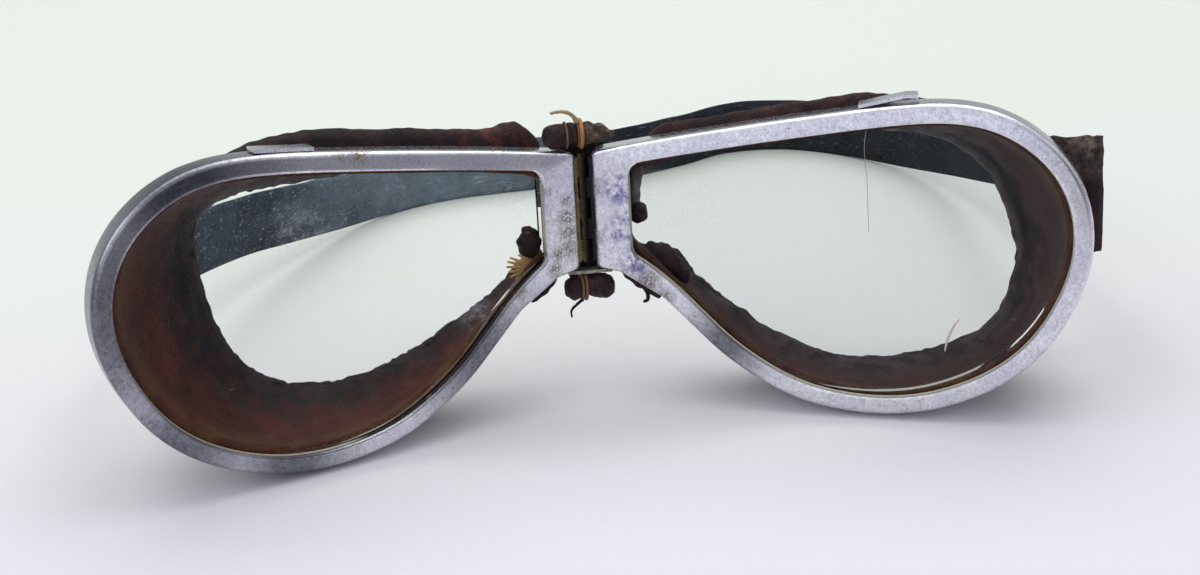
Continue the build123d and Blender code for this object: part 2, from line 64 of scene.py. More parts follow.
# Rim, as in the solid model, with the rounder upper nose corner of the photograph
hinge_gap = 2.1
hinge_depth = 2.5
hinge_middle_height = 2.05
opening_points = (
    (6.8, 10.6), (10.0, 11.2), (16.0, 12.15), (24.0, 13.3), (32.0, 14.4), (40.0, 15.4),
    (48.0, 16.35), (56.0, 17.1), (62.0, 17.3), (67.0, 16.9), (72.0, 15.6), (77.0, 12.9),
    (81.5, 8.7), (84.5, 3.5), (85.8, -2.5), (85.4, -8.5), (83.2, -15.0), (79.2, -21.7),
    (74.0, -26.8), (67.5, -30.5), (60.0, -32.9), (52.0, -33.6), (44.5, -32.8), (37.5, -30.8),
    (31.0, -27.3), (25.0, -22.8), (19.5, -17.3), (14.5, -12.2), (10.0, -8.4), (6.8, -6.2),
)
opening_middle = Vector((45.0, -8.0))
top_corner_reach = 2.8
bottom_corner_reach = 1.7
rim_width = 3.4
rim_wall = 0.7
rim_depth = 6.8
rim_crown = 1.15
crown_step = 0.1
band_slope = 0.3
band_thickness = 0.9
lip_thickness = 0.6
lip_reach = 1.6
lip_round = 0.15
bar_top = 13.0
bar_bottom = 8.9
bar_foot = 4.5
bar_foot_drop = 0.9
bar_corner = 0.7
bar_top_corner_share = 0.12
shoulder_start = 1
shoulder_end = 28
nose_stations = 24
rim_stations = 300
crown_stations = 5
rim_sharp_angle = 38

# Rim edges: inset from the opening with depth, and inset from the outside with distance from the rear
inner_edge = ((0.0, band_thickness), (0.0, 0.22), (0.06, 0.07), (0.2, 0.0))
rear_edge = ((0.0, 1.1), (0.12, 0.95), (0.12, 0.35), (0.4, 0.0))
band_flat_inset = 0.5
inner_dent = 0.03
outer_dent = 0.05
dent_size = 9.0

# Leather masks
mask_front = 2.9
mask_inset = 0.9
mask_flange = 1.9
flange_front = 2.85
flange_rear = 3.95
mask_wall = 1.2
mask_bulge = 1.3
mask_nose_depth = 12.0
mask_tilt_share = math.tan(math.radians(8.5))
mask_points_used = (2, 4, 6, 8, 10, 12, 14, 16, 18, 20, 22, 24, 26, 28)
mask_nose_edge = 6.3
mask_nose_low = -2.5
mask_nose_high = 8.0
rear_edges = {
    "right": (
        (18.0, 9.5), (32.0, 11.5), (46.0, 12.3), (58.0, 11.5), (66.0, 8.5), (71.5, 3.0), (75.2, -6.5),
        (76.2, -15.0), (71.5, -25.8), (59.0, -31.0), (44.0, -31.3), (31.5, -26.2), (19.5, -17.0),
        (13.5, -9.5), (11.0, -3.5), (11.5, 5.5),
    ),
    "left": (
        (18.0, 9.0), (32.0, 10.8), (44.0, 11.2), (55.0, 10.5), (62.5, 8.5), (65.5, 4.5), (65.6, -3.0),
        (63.8, -12.0), (60.0, -20.5), (53.5, -25.5), (44.0, -27.1), (34.5, -25.8), (23.0, -20.6),
        (12.0, -14.2), (7.6, -8.0), (7.2, 4.0),
    ),
}
mask_stations = 320
mask_rows = 14
trim_radius = 1.05
trim_end_stations = 9

# Where the leather is torn away: the wall ends at the rim from the nose to part of the way along the top
tear_bottom = {"right": -5.8, "left": -2.5}
tear_reach = {"right": 44.0, "left": 36.0}
tear_slant = 20.0
tear_full_depth = 30.0
tear_ramp = 1.6
tear_rag = 1.5
torn_past_rim = 0.4
torn_past_flange = 0.5
top_tear_start = 12.0
bottom_tear_end = 40.0

# Leather welts: reach over the rim and depth behind it
welt_inner = 0.7
welt_outer = {"right": 5.0, "left": 6.0}
welt_thickness = {"right": 3.0, "left": 5.5}
welt_gap = 0.05
welt_first = 1
welt_last = 11
welt_left_start = (4.4, 10.1)
welt_stations = 150
welt_section_shares = (
    (0.0, 0.06), (0.0, 0.75), (0.25, 1.0), (0.75, 1.0), (1.0, 0.75), (1.0, 0.06), (0.75, 0.0), (0.25, 0.0),
)
bunch_height = 1.7
bunch_place_share = 0.07
bunch_width_share = 0.06

# Strap
strap_width = 13.0
strap_thickness = 1.4
strap_right_anchor = (94.6, -9.0, 30.0)
strap_right_end = (98.2, 47.0, 21.0)
strap_left_anchor = (-83.5, -8.0, 29.2)
strap_left_end = (-83.6, 5.0, 26.6)
strap_far_points = (
    (97.2, 75.0, 12.5), (90.5, 95.0, 7.8), (78.5, 109.4, 6.55), (65.0, 116.8, 6.55), (50.5, 117.0, 6.55),
    (38.0, 111.0, 6.55), (20.0, 104.8, 6.55), (0.0, 103.2, 6.55), (-19.0, 101.0, 6.55),
    (-33.0, 95.4, 6.6), (-45.5, 84.4, 8.3), (-56.5, 70.0, 12.0), (-66.4, 54.0, 16.4), (-77.0, 31.0, 21.4),
)
strap_bend_start = (-70, 0, 0)
strap_bend_end = (88, 0, 0)
strap_stations = 260
strap_section_shares = (
    (-0.5, -0.42), (-0.5, -0.2), (-0.5, 0.0), (-0.5, 0.2), (-0.5, 0.42), (-0.3, 0.49), (0.3, 0.49),
    (0.5, 0.42), (0.5, 0.2), (0.5, 0.0), (0.5, -0.2), (0.5, -0.42), (0.3, -0.49), (-0.3, -0.49),
)
strap_wave = 0.25
strap_wave_size = 9.0
free_end_length = 34.0
free_end_gap = 0.1
free_end_stations = 25

# Tabs, in the right cup's directions
tab_inner_points = {
    "right": ((78.5, 13.0), (82.6, 9.0), (85.6, 3.0), (86.9, -3.0), (86.9, -8.0)),
    "left": ((82.3, 2.0), (83.0, -2.5), (82.6, -8.5), (81.6, -12.0)),
}
tab_bend = {"right": 90.6, "left": 84.6}
tab_top = {"right": 13.0, "left": 2.0}
tab_bottom = {"right": 8.0, "left": 12.0}
tab_thickness = 1.8
tab_depth = 6.95
tab_overlap = 9.0
tab_margin = 1.2
tab_clearance = 0.15
tab_bend_reach = 1.2
tab_bend_end = 0.2
tab_rag = 0.9
tab_columns = 24
tab_path_steps = 20

# Bridge rolls: reach across and radius along each one
upper_roll = (
    (-6.6, 1.2), (-6.2, 1.9), (-4.8, 2.25), (-2.8, 2.15), (-2.3, 1.75), (-1.9, 2.05), (-0.9, 1.9),
    (-0.4, 1.65), (0.2, 2.0), (1.6, 2.1), (3.2, 1.75), (4.6, 1.25), (5.6, 0.8), (6.0, 0.45),
)
lower_roll = (
    (-4.3, 0.9), (-3.8, 1.7), (-2.7, 2.1), (-1.7, 1.8), (-1.2, 1.3), (-0.7, 1.6), (0.1, 1.9),
    (1.4, 2.15), (2.8, 2.25), (3.9, 2.0), (4.7, 1.2),
)
roll_heights = {"upper": 16.0, "lower": -13.0}
roll_depth = 2.8
fold_tangent = math.tan(math.radians(18.5))

# Leather strip behind the gap, narrower towards its top and bottom. Its top reaches up behind the upper roll as a
# dark sheet that stands for the shade under the roll
bridge_leather_bottom = -12.6
bridge_leather_top = 14.6
bridge_leather_half = 8.6
bridge_leather_depths = (7.05, 8.0)
bridge_leather_levels = 30
bridge_leather_columns = 24

# Thread turns: roll, place across, thickness, radius and look. Tails: roll, places, thickness and look
thread_turns = (
    ("upper", 0.06, 0.42, 2.45, "thread"), ("upper", -0.55, 0.2, 2.3, "dry_thread"),
    ("upper", -2.75, 0.22, 2.35, "dry_thread"), ("lower", -0.55, 0.3, 2.35, "dry_thread"),
    ("lower", -1.25, 0.25, 2.3, "dry_thread"),
)
thread_tails = (
    (
        "upper", ((-0.6, 2.3), (-0.95, 3.1), (-1.7, 4.0), (-2.9, 4.55), (-4.2, 4.7), (-5.4, 4.6)),
        0.46, "tan_thread",
    ),
    ("lower", ((-1.2, -2.0), (-2.2, -2.6), (-3.1, -3.2), (-3.7, -4.0), (-3.6, -5.1)), 0.3, "dark"),
)
thread_skew = 0.12
tail_depth = 1.6

# Small things on each cup: side, look, roughness, then across, up, depth and radius along it
scraps = {
    "nose_lump_left": ("left", "lump", 0.7, (
        (6.9, -1.2, 8.4, 0.7), (6.9, -2.6, 8.2, 1.7), (6.8, -4.6, 8.0, 2.3), (6.2, -6.8, 8.0, 1.9),
        (5.2, -8.6, 8.0, 0.9))),
    "nose_lump_left_side": ("left", "lump", 0.5, (
        (6.5, -3.6, 7.8, 1.6), (8.2, -4.0, 7.8, 1.5), (9.3, -4.4, 7.8, 0.7))),
    "nose_lump_right": ("right", "lump", 0.7, (
        (6.0, -8.0, 8.2, 1.2), (8.4, -8.2, 8.0, 2.0), (10.6, -8.2, 8.0, 2.3), (12.6, -9.4, 8.0, 2.0),
        (14.4, -11.6, 8.2, 1.4), (16.0, -13.6, 8.4, 0.8))),
    "torn_strip_right": ("right", "grey_strip", 0.3, (
        (7.4, 10.6, 5.4, 1.0), (7.5, 8.6, 5.4, 1.25), (7.1, 5.7, 5.4, 1.2), (6.9, 3.4, 5.4, 1.1),
        (7.0, 1.4, 5.4, 1.0))),
    "knob_right": ("right", "lump", 0.4, (
        (7.0, 2.4, 5.2, 0.7), (7.5, 1.1, 5.2, 1.7), (7.5, -0.2, 5.2, 1.7), (7.0, -1.3, 5.2, 0.7))),
    "tatter_right": ("right", "dark", 0.35, (
        (3.8, -10.8, 7.6, 0.9), (5.2, -12.2, 7.5, 1.1), (6.8, -13.6, 7.5, 1.0), (8.7, -14.7, 7.6, 0.9),
        (10.6, -16.6, 7.7, 0.5))),
    "tatter_hook_right": ("right", "dark", 0.1, (
        (7.4, -14.2, 7.4, 0.45), (8.2, -15.6, 7.3, 0.4), (8.2, -16.9, 7.3, 0.35), (7.4, -17.4, 7.3, 0.25))),
    "tatter_left": ("left", "dark", 0.4, (
        (2.4, -11.6, 7.4, 0.7), (4.0, -12.6, 7.4, 1.1), (5.8, -13.9, 7.4, 1.0), (7.6, -15.3, 7.5, 0.5))),
    "splinter": ("right", "pale_splinter", 0.05, (
        (66.0, -18.7, 1.15, 0.1), (65.0, -20.0, 1.15, 0.2), (64.1, -22.0, 1.15, 0.26),
        (63.6, -23.6, 1.2, 0.2), (63.4, -24.8, 1.2, 0.1))),
    "hair": ("right", "hair", 0.0, (
        (49.8, 16.4, 1.2, 0.05), (49.4, 12.5, 1.2, 0.05), (49.8, 7.1, 1.2, 0.05), (49.9, 2.5, 1.2, 0.05),
        (50.0, -2.5, 1.2, 0.05))),
}
straw_roots = ((5.9, -8.9), (6.3, -8.6), (6.8, -8.0), (7.2, -7.6))
straw_tips = (
    (11.9, -5.9), (12.6, -7.6), (12.0, -9.6), (10.2, -5.6), (9.6, -10.8), (11.4, -8.6), (10.9, -6.9),
    (8.8, -10.4), (12.4, -6.6), (12.4, -8.5), (11.0, -10.2), (9.6, -6.6),
)
straw_radius = 0.55
straw_root_depth = 6.4
straw_depth = 6.0

# Marks on the metal, felt and glass, with the painted dark reflections on the rims and the painted shade on the
# felt: side, then across, up and deep on the cup, and size
corrosion_spots = (
    ("left", 2.4, 4.6, 0, 1.8), ("left", 2.4, 1.5, 0, 2.8), ("left", 2.3, -1.5, 0, 2.8),
    ("left", 2.2, -4.6, 0, 2.8), ("left", 4.6, -5.2, 0, 2.0), ("left", 5.4, -8.0, 0, 2.2),
    ("left", 6.1, 6.7, 0, 1.2),
    ("left", 41.0, 17.9, 0, 3.2), ("left", 44.5, 18.4, 0, 1.8), ("left", 82.4, -26.3, 2, 3.4),
    ("left", 12.8, -10.9, 0, 1.8), ("right", 7.2, 15.2, 0, 2.0), ("right", 9.7, -11.6, 0, 3.6),
    ("right", 12.5, -14.5, 0, 2.6), ("right", 0.1, 6.4, 0, 2.4), ("right", 18.6, 17.2, 0, 1.3),
    ("right", 8.6, -1.6, 0, 1.2), ("right", 0.6, -3.0, 0, 1.8),
)
grime_spots = (
    ("left", 84.5, -23.5, 2, 5.0), ("left", 80.0, -29.0, 2, 5.0), ("left", 88.0, -16.0, 2, 4.0),
    ("left", 2.1, 12.6, 0, 0.7), ("left", 0.2, 3.0, 0, 1.0), ("right", 0.2, -6.0, 0, 1.3),
)
rim_dark_reflection_spots = (
    ("left", 86.0, -4.0, 0, 30.0), ("left", 76.0, -26.0, 0, 18.0), ("left", 58.0, -34.0, 0, 15.0),
    ("left", 22.0, -20.0, 0, 18.0), ("left", 72.0, 17.0, 0, 22.0), ("right", 24.0, -23.0, 0, 11.0),
)
blue_spots = (("right", 4.9, 6.0, 0, 5.0), ("right", 5.4, -1.6, 0, 5.0), ("right", 8.0, -8.0, 0, 5.0))
painted_felt_shade_spots = (
    ("left", 12.0, -9.5, 1, 9.0), ("left", 24.0, -20.0, 1, 16.0), ("left", 38.0, -30.0, 1, 10.0),
)
hazes = {
    "right": (
        ("right", 15.9, -0.1, 1.4, 6.0), ("right", 11.5, 5.6, 1.4, 5.0), ("right", 20.0, 3.0, 1.4, 6.0),
    ),
    "left": (
        ("left", 21.3, -13.6, 1.4, 4.5), ("left", 12.0, 6.0, 1.4, 5.0), ("left", 52.0, 6.0, 1.4, 7.0),
    ),
}

# Painted shade along a crease in the leather at the temple: where it lies, and how far back it lies
crease_shade_place = (69.0, -2.0, 20.0)
crease_shade_share = 0.8

hinge = next(joint for joint in frame["joints"] if joint["name"] == "bridge_fold")
mounts = {mount["name"]: mount for mount in frame["record"]["mounts"]}
hinge_up = Vector(hinge["axis"])
hinge_forward = Vector((0, -hinge_up.z, hinge_up.y))
hinge_place = Vector(hinge["pos_m"]) / MM
hinge_base = hinge_place - hinge_up * hinge_middle_height
right_normal = Vector(mounts["bar_face_right"]["axis"])
right_across = hinge_up.cross(right_normal)
camera_place = hinge_place + camera_from_hinge


class Eyecup:
    """One side of the goggles: turns places given across, up and deep into places in the frame."""

    def __init__(self, name):
        self.name = name
        self.sign = 1 if name == "right" else -1
        self.body = f"{name}_eyecup"

    def mirror(self, spot):
        if self.sign > 0:
            return spot
        return Vector((2 * hinge_base.x - spot.x, spot.y, spot.z))

    def at(self, across, up, depth):
        reach = right_across * (across + hinge_gap)
        return self.mirror(hinge_base + reach + hinge_up * up - right_normal * (depth - hinge_depth))

    def normal(self):
        return Vector((right_normal.x * self.sign, right_normal.y, right_normal.z))


cups = {name: Eyecup(name) for name in ("right", "left")}


def resample(points, count, closed=False):
    """Evenly spaced points along a line through the points."""
    line = [Vector(point) for point in points]
    if closed:
        line.append(line[0])
    lengths = [0.0]
    for first, second in zip(line, line[1:]):
        lengths.append(lengths[-1] + (second - first).length)
    steps = count if closed else count - 1
    result = []
    place = 0
    for index in range(count):
        wanted = lengths[-1] * index / steps
        while place < len(line) - 2 and lengths[place + 1] < wanted:
            place += 1
        span = max(lengths[place + 1] - lengths[place], 1e-9)
        share = min(max((wanted - lengths[place]) / span, 0), 1)
        result.append(line[place].lerp(line[place + 1], share))
    return result


def spline(points, per_span, closed=False):
    """A smooth line through the points, with the same number of steps in each span."""
    line = [Vector(point) for point in points]
    count = len(line)

    def pick(index):
        if closed:
            return line[index % count]
        if index < 0:
            return line[0] * 2 - line[1]
        if index >= count:
            return line[-1] * 2 - line[-2]
        return line[index]

    result = []
    for index in range(count if closed else count - 1):
        a, b, c, d = (pick(index + step) for step in (-1, 0, 1, 2))
        for step in range(per_span):
            t = step / per_span
            squared = (a * 2 - b * 5 + c * 4 - d) * t**2
            cubed = (b * 3 - a - c * 3 + d) * t**3
            result.append((b * 2 + (c - a) * t + squared + cubed) / 2)
    if not closed:
        result.append(line[-1])
    return result


def outset(points, distance):
    """Points moved to the outside of a clockwise outline."""
    moved = []
    for index, point in enumerate(points):
        before = points[max(index - 1, 0)]
        after = points[min(index + 1, len(points) - 1)]
        run, rise = after[0] - before[0], after[1] - before[1]
        length = math.hypot(run, rise)
        moved.append((point[0] - distance * rise / length, point[1] + distance * run / length))
    return moved


def bend(start, corner, end, steps=8):
    """A rounded corner."""
    start, corner, end = Vector(start), Vector(corner), Vector(end)
    shares = [step / steps for step in range(steps + 1)]
    return [start * (1 - t) ** 2 + corner * 2 * t * (1 - t) + end * t**2 for t in shares]


def ripple(spot, size, seed=0.0):
    """Smooth noise between -1 and 1 with bumps of about the given size."""
    return noise.noise(Vector(spot) / size + Vector((seed, seed * 1.7, -seed)))


def waves(spot, *parts):
    """The sum of several ripples, each given as its height, size and seed."""
    return sum(height * ripple(spot, size, seed) for height, size, seed in parts)


def ease(value, low, high):
    """0 below low, 1 above high, smooth between them."""
    share = min(max((value - low) / (high - low), 0.0), 1.0)
    return share * share * (3 - 2 * share)


def grid_mesh(name, rows, close_rows=False, close_columns=False, cap=False, shares=None):
    """A mesh of four-sided faces through rows of places, with its row share kept for the materials."""
    mesh = bpy.data.meshes.new(name)
    height, width = len(rows), len(rows[0])
    faces = []
    for i in range(height if close_rows else height - 1):
        for j in range(width if close_columns else width - 1):
            i2, j2 = (i + 1) % height, (j + 1) % width
            faces.append((i * width + j, i * width + j2, i2 * width + j2, i2 * width + j))
    if cap:
        faces.append(tuple(range(width)))
        faces.append(tuple((height - 1) * width + j for j in range(width)))
    mesh.from_pydata([Vector(spot) * MM for row in rows for spot in row], [], faces)
    row_share = mesh.attributes.new("row_share", "FLOAT", "POINT")
    if shares is None:
        shares = [i / max(height - 1, 1) for i in range(height) for j in range(width)]
    row_share.data.foreach_set("value", shares)
    work = bmesh.new()
    work.from_mesh(mesh)
    bmesh.ops.recalc_face_normals(work, faces=work.faces)
    work.to_mesh(mesh)
    work.free()
    mesh.shade_smooth()
    return mesh


def fill_holes(mesh):
    """Open borders closed with flat faces."""
    work = bmesh.new()
    work.from_mesh(mesh)
    bmesh.ops.holes_fill(work, edges=[edge for edge in work.edges if edge.is_boundary])
    bmesh.ops.triangulate(work, faces=[face for face in work.faces if len(face.verts) > 4])
    bmesh.ops.recalc_face_normals(work, faces=work.faces)
    work.to_mesh(mesh)
    work.free()


def tube_mesh(name, centres, radii, sides=12, rough=0.0, size=1.0, seed=0.0, closed=False):
    """A round bar along the centres, with its own radius at each, pushed in and out by noise."""
    rows = []
    count = len(centres)
    side = Vector((0, 0, 1))
    for index, centre in enumerate(centres):
        if closed:
            run = centres[(index + 1) % count] - centres[index - 1]
        else:
            run = centres[min(index + 1, count - 1)] - centres[max(index - 1, 0)]
        run.normalize()
        side = (side - run * side.dot(run)).normalized()
        other = run.cross(side)
        row = []
        for step in range(sides):
            turn = 2 * math.pi * step / sides
            direction = side * math.cos(turn) + other * math.sin(turn)
            spot = centre + direction * radii[index]
            row.append(spot + direction * rough * ripple(spot, size, seed))
        rows.append(row)
    return grid_mesh(name, rows, close_rows=closed, close_columns=True, cap=not closed)


def add_object(name, data):
    """A new object in the scene."""
    made = bpy.data.objects.new(name, data)
    bpy.context.scene.collection.objects.link(made)
    return made


def piece(mesh, material, body=None, replaced=()):
    """An object named as its mesh, on its body, with its finish and the solids that it stands for."""
    made = add_object(mesh.name, mesh)
    mesh.materials.append(material)
    if replaced:
        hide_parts(*replaced)
    if body:
        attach(made, body)
    return made


class Nodes:
    """Short calls that put nodes into a tree."""

    def __init__(self, tree, place):
        self.tree = tree
        self.place = self.add("TexCoord").outputs[place]

    def add(self, kind, inputs=None, **settings):
        made = self.tree.nodes.new("ShaderNode" + kind)
        for name, value in settings.items():
            setattr(made, name, value)
        for name, value in (inputs or {}).items():
            self.join(value, made.inputs[name])
        return made

    def join(self, value, socket):
        if isinstance(value, bpy.types.NodeSocket):
            self.tree.links.new(value, socket)
        elif socket.type == "RGBA":
            socket.default_value = (*value, 1.0)
        else:
            socket.default_value = value

    def along(self, axis):
        """The place's x, y or z, which is in metres in a material."""
        return self.add("SeparateXYZ", {0: self.place}).outputs[axis]

    def span(self, value, low, high, start=0.0, end=1.0):
        """The value's way from low to high, held at both ends."""
        inputs = {"Value": value, "From Min": low, "From Max": high, "To Min": start, "To Max": end}
        return self.add("MapRange", inputs).outputs[0]

    def math(self, operation, first, second=0.0):
        return self.add("Math", {0: first, 1: second}, operation=operation).outputs[0]

    def times(self, *values):
        result = values[0]
        for value in values[1:]:
            result = self.math("MULTIPLY", result, value)
        return result

    def mix(self, share, first, second):
        """Two colours mixed by a share."""
        return self.add("Mix", {0: share, 6: first, 7: second}, data_type="RGBA").outputs[2]


class Finish(Nodes):
    """A material. Sizes of its patterns are in millimetres."""

    def __init__(self, name):
        self.material = bpy.data.materials.new(name)
        self.material.use_nodes = True
        super().__init__(self.material.node_tree, "Object")
        self.shader = self.tree.nodes["Principled BSDF"]
        self.output = self.tree.nodes["Material Output"]
        self.relief = None

    def set(self, **values):
        for name, value in values.items():
            self.join(value, self.shader.inputs[name.replace("_", " ").title().replace("Ior", "IOR")])

    def noise(self, size, detail=4.0, rough=0.6, stretch=None, seed=0.0):
        vector = self.place
        if stretch:
            vector = self.add("Mapping", {"Vector": vector, "Scale": stretch}).outputs[0]
        if seed:
            vector = self.add("VectorMath", {0: vector, 1: (seed,) * 3}, operation="ADD").outputs[0]
        inputs = {"Vector": vector, "Scale": 1 / (size * MM), "Detail": detail, "Roughness": rough}
        return self.add("TexNoise", inputs).outputs["Fac"]

    def patches(self, size, low, high, most=1.0, **kind):
        """Patches of noise: 0 where it is below low, and the most where it is above high."""
        return self.span(self.noise(size, **kind), low, high, 0.0, most)

    def near(self, spot, inner, outer):
        """1 within the inner distance of a spot, falling to 0 at the outer one."""
        inputs = {0: self.place, 1: Vector(spot) * MM}
        distance = self.add("VectorMath", inputs, operation="DISTANCE").outputs["Value"]
        return self.span(distance, inner * MM, outer * MM, 1.0, 0.0)

    def near_any(self, spots):
        """The nearest of several spots on the cups."""
        result = None
        for side, across, up, depth, size in spots:
            here = self.near(cups[side].at(across, up, depth), size * 0.2, size)
            result = here if result is None else self.math("MAXIMUM", result, here)
        return result

    def bump(self, height, depth, strength=1.0):
        """Relief of the given depth, added to what is there."""
        inputs = {"Height": height, "Distance": depth * MM, "Strength": strength}
        if self.relief is not None:
            inputs["Normal"] = self.relief
        self.relief = self.add("Bump", inputs).outputs[0]
        self.join(self.relief, self.shader.inputs["Normal"])
        return self


def nickel_finish(name, worn=True):
    """Nickel plate: grey mottling, fine dark pits and bare streaks, and where worn, patches of corrosion and
    painted dark reflections on parts of the rims.
    """
    paint = Finish(name)
    mottle = paint.noise(0.8, detail=7.0, rough=0.82)
    grain = paint.noise(0.22, detail=5.0, rough=0.75)
    dull = paint.span(mottle, 0.44, 0.64)
    colour = paint.mix(dull, (0.80, 0.81, 0.85), (0.50, 0.51, 0.56))
    colour = paint.mix(paint.patches(11.0, 0.46, 0.66, 0.7, seed=3.0), colour, (0.60, 0.59, 0.70))
    if worn:
        # Painted reflection: when worn is set, the rims are darkened at these spots as if they mirrored the dark
        # room in front.
        dark = paint.times(paint.near_any(rim_dark_reflection_spots), 0.95)
        colour = paint.mix(dark, colour, paint.mix(dull, (0.17, 0.18, 0.21), (0.08, 0.085, 0.10)))
    field = paint.patches(2.8, 0.40, 0.56, detail=5.0, rough=0.7, seed=7.0)
    pits = paint.times(paint.span(grain, 0.55, 0.64), field)
    streaks = paint.patches(0.9, 0.6, 0.7, 0.7, detail=6.0, rough=0.8, seed=15.0)
    colour = paint.mix(streaks, colour, (0.26, 0.26, 0.30))
    metal = paint.span(pits, 0.0, 1.0, 1.0, 0.4)
    if worn:
        clouds = paint.patches(1.6, 0.42, 0.58, detail=6.0, rough=0.7, seed=21.0)
        blue = paint.times(paint.near_any(blue_spots), clouds)
        colour = paint.mix(paint.times(blue, 0.9), colour, (0.10, 0.10, 0.27))
        speckle = paint.patches(0.5, 0.43, 0.53, detail=7.0, rough=0.85, seed=11.0)
        rust = paint.times(paint.near_any(corrosion_spots), speckle)
        verdigris = paint.mix(paint.noise(0.8, seed=5.0), (0.15, 0.09, 0.03), (0.10, 0.11, 0.04))
        soot = paint.patches(0.9, 0.45, 0.58, detail=6.0, rough=0.8, seed=19.0)
        grime = paint.times(paint.near_any(grime_spots), soot)
        colour = paint.mix(paint.times(rust, 0.95), colour, verdigris)
        colour = paint.mix(paint.times(grime, 0.95), colour, (0.02, 0.018, 0.018))
        covered = paint.math("MAXIMUM", rust, grime)
        metal = paint.math("SUBTRACT", metal, paint.times(covered, 0.8))
    colour = paint.mix(paint.times(pits, 0.9), colour, (0.04, 0.036, 0.04))
    shine = paint.span(paint.math("ADD", dull, pits), 0.0, 1.6, 0.17, 0.46)
    paint.set(base_color=colour, metallic=metal, roughness=shine)
    return paint.bump(grain, 0.04, 0.5).bump(mottle, 0.1, 0.25).material


def brass_finish(name):
    """Tarnished brass with black grime."""
    paint = Finish(name)
    grime = paint.patches(1.6, 0.38, 0.62, detail=6.0, rough=0.75)
    colour = paint.mix(grime, (0.34, 0.27, 0.09), (0.035, 0.03, 0.018))
    paint.set(base_color=colour, metallic=0.75, roughness=paint.span(grime, 0, 1, 0.42, 0.85))
    return paint.bump(paint.noise(0.4, detail=5.0), 0.06, 0.6).material


def hinge_finish(name):
    """Olive brass on the left of the gap, and on its right black painted shade of the gap."""
    paint = Finish(name)
    # Right of the gap: painted shade, near black, for the dark gap between the bars.
    side = paint.span(paint.along("X"), (hinge_base.x - 0.5) * MM, (hinge_base.x - 0.1) * MM)
    grime = paint.patches(1.2, 0.42, 0.66, detail=6.0, rough=0.75)
    olive = paint.mix(grime, (0.20, 0.17, 0.055), (0.05, 0.045, 0.02))
    paint.set(base_color=paint.mix(side, olive, (0.008, 0.007, 0.006)), metallic=0.5, roughness=0.65)
    return paint.bump(paint.noise(0.4, detail=5.0), 0.06, 0.6).material


def steel_finish(name, clean):
    """Stained thin steel."""
    paint = Finish(name)
    stain = paint.patches(1.2, 0.4, 0.65, detail=5.0, rough=0.7)
    colour = paint.mix(stain, clean, (0.16, 0.14, 0.08))
    paint.set(base_color=colour, metallic=0.7, roughness=paint.span(stain, 0, 1, 0.4, 0.75))
    return paint.bump(paint.noise(0.3, detail=4.0), 0.05, 0.5).material


def leather_finish(name, light, dark, blotch=0.5, shine=0.5, cup=None, stain=None):
    """Old leather: cracked grain and worn patches. A cup also turns yellow in front and black behind, with a
    painted shade line along a crease at the temple.

    A stain is a place, how far it reaches and its colour.
    """
    paint = Finish(name)
    wear = paint.patches(7.0, 0.36, 0.66, detail=7.0, rough=0.68)
    fine = paint.noise(0.5, detail=6.0, rough=0.7)
    inputs = {"Vector": paint.place, "Scale": 1 / (1.1 * MM)}
    cells = paint.add("TexVoronoi", inputs, feature="DISTANCE_TO_EDGE")
    cracks = paint.span(cells.outputs["Distance"], 0.0, 0.09, 1.0, 0.0)
    creases = paint.patches(1.5, 0.56, 0.66, detail=5.0, stretch=(1.0, 1.0, 3.2), seed=2.0)
    colour = paint.mix(wear, dark, light)
    colour = paint.mix(paint.span(fine, 0.35, 0.7, 0.0, 0.5), colour, tuple(0.45 * share for share in dark))
    colour = paint.mix(paint.times(cracks, 0.4), colour, (0.01, 0.007, 0.006))
    spots = paint.patches(3.6, 0.48, 0.55, detail=4.0, rough=0.6, seed=9.0)
    if cup:
        rows = paint.add("Attribute", attribute_name="row_share").outputs["Fac"]
        rear_colour = (0.010, 0.005, 0.007) if cup.name == "left" else (0.050, 0.036, 0.045)
        colour = paint.mix(paint.span(rows, 0.4, 0.9, 0.0, 0.85), colour, rear_colour)
        front = paint.times(paint.span(rows, 0.10, 0.26, 1.0, 0.0), paint.patches(5.0, 0.35, 0.65, seed=14.0))
        colour = paint.mix(paint.times(front, 0.55), colour, (0.14, 0.075, 0.022))
        spots = paint.times(spots, paint.span(rows, 0.45, 0.75))
        # Painted shade: a near black line along a crease near the temple.
        aside = paint.math("ABSOLUTE", paint.math("SUBTRACT", rows, crease_shade_share))
        beside = paint.near(cup.at(*crease_shade_place), 9.0, 20.0)
        crease = paint.times(paint.span(aside, 0.02, 0.06, 1.0, 0.0), beside)
        colour = paint.mix(crease, colour, (0.004, 0.003, 0.004))
    if stain:
        stain_place, stain_reach, stain_colour = stain
        streaks = paint.patches(2.0, 0.42, 0.6, detail=6.0, rough=0.75, seed=31.0)
        stained = paint.times(paint.near(stain_place, stain_reach / 6, stain_reach), streaks)
        colour = paint.mix(stained, colour, stain_colour)
    colour = paint.mix(paint.times(spots, blotch), colour, (0.006, 0.004, 0.006))
    dust = paint.patches(0.8, 0.62, 0.78, 0.22, detail=8.0, rough=0.8, seed=4.0)
    colour = paint.mix(dust, colour, (0.17, 0.14, 0.14))
    polish = paint.span(fine, 0.3, 0.75, shine, shine + 0.3)
    paint.set(base_color=colour, roughness=polish, specular_ior_level=0.22)
    return paint.bump(cracks, -0.12, 0.5).bump(fine, 0.12, 0.5).bump(creases, 0.25, 0.5).material


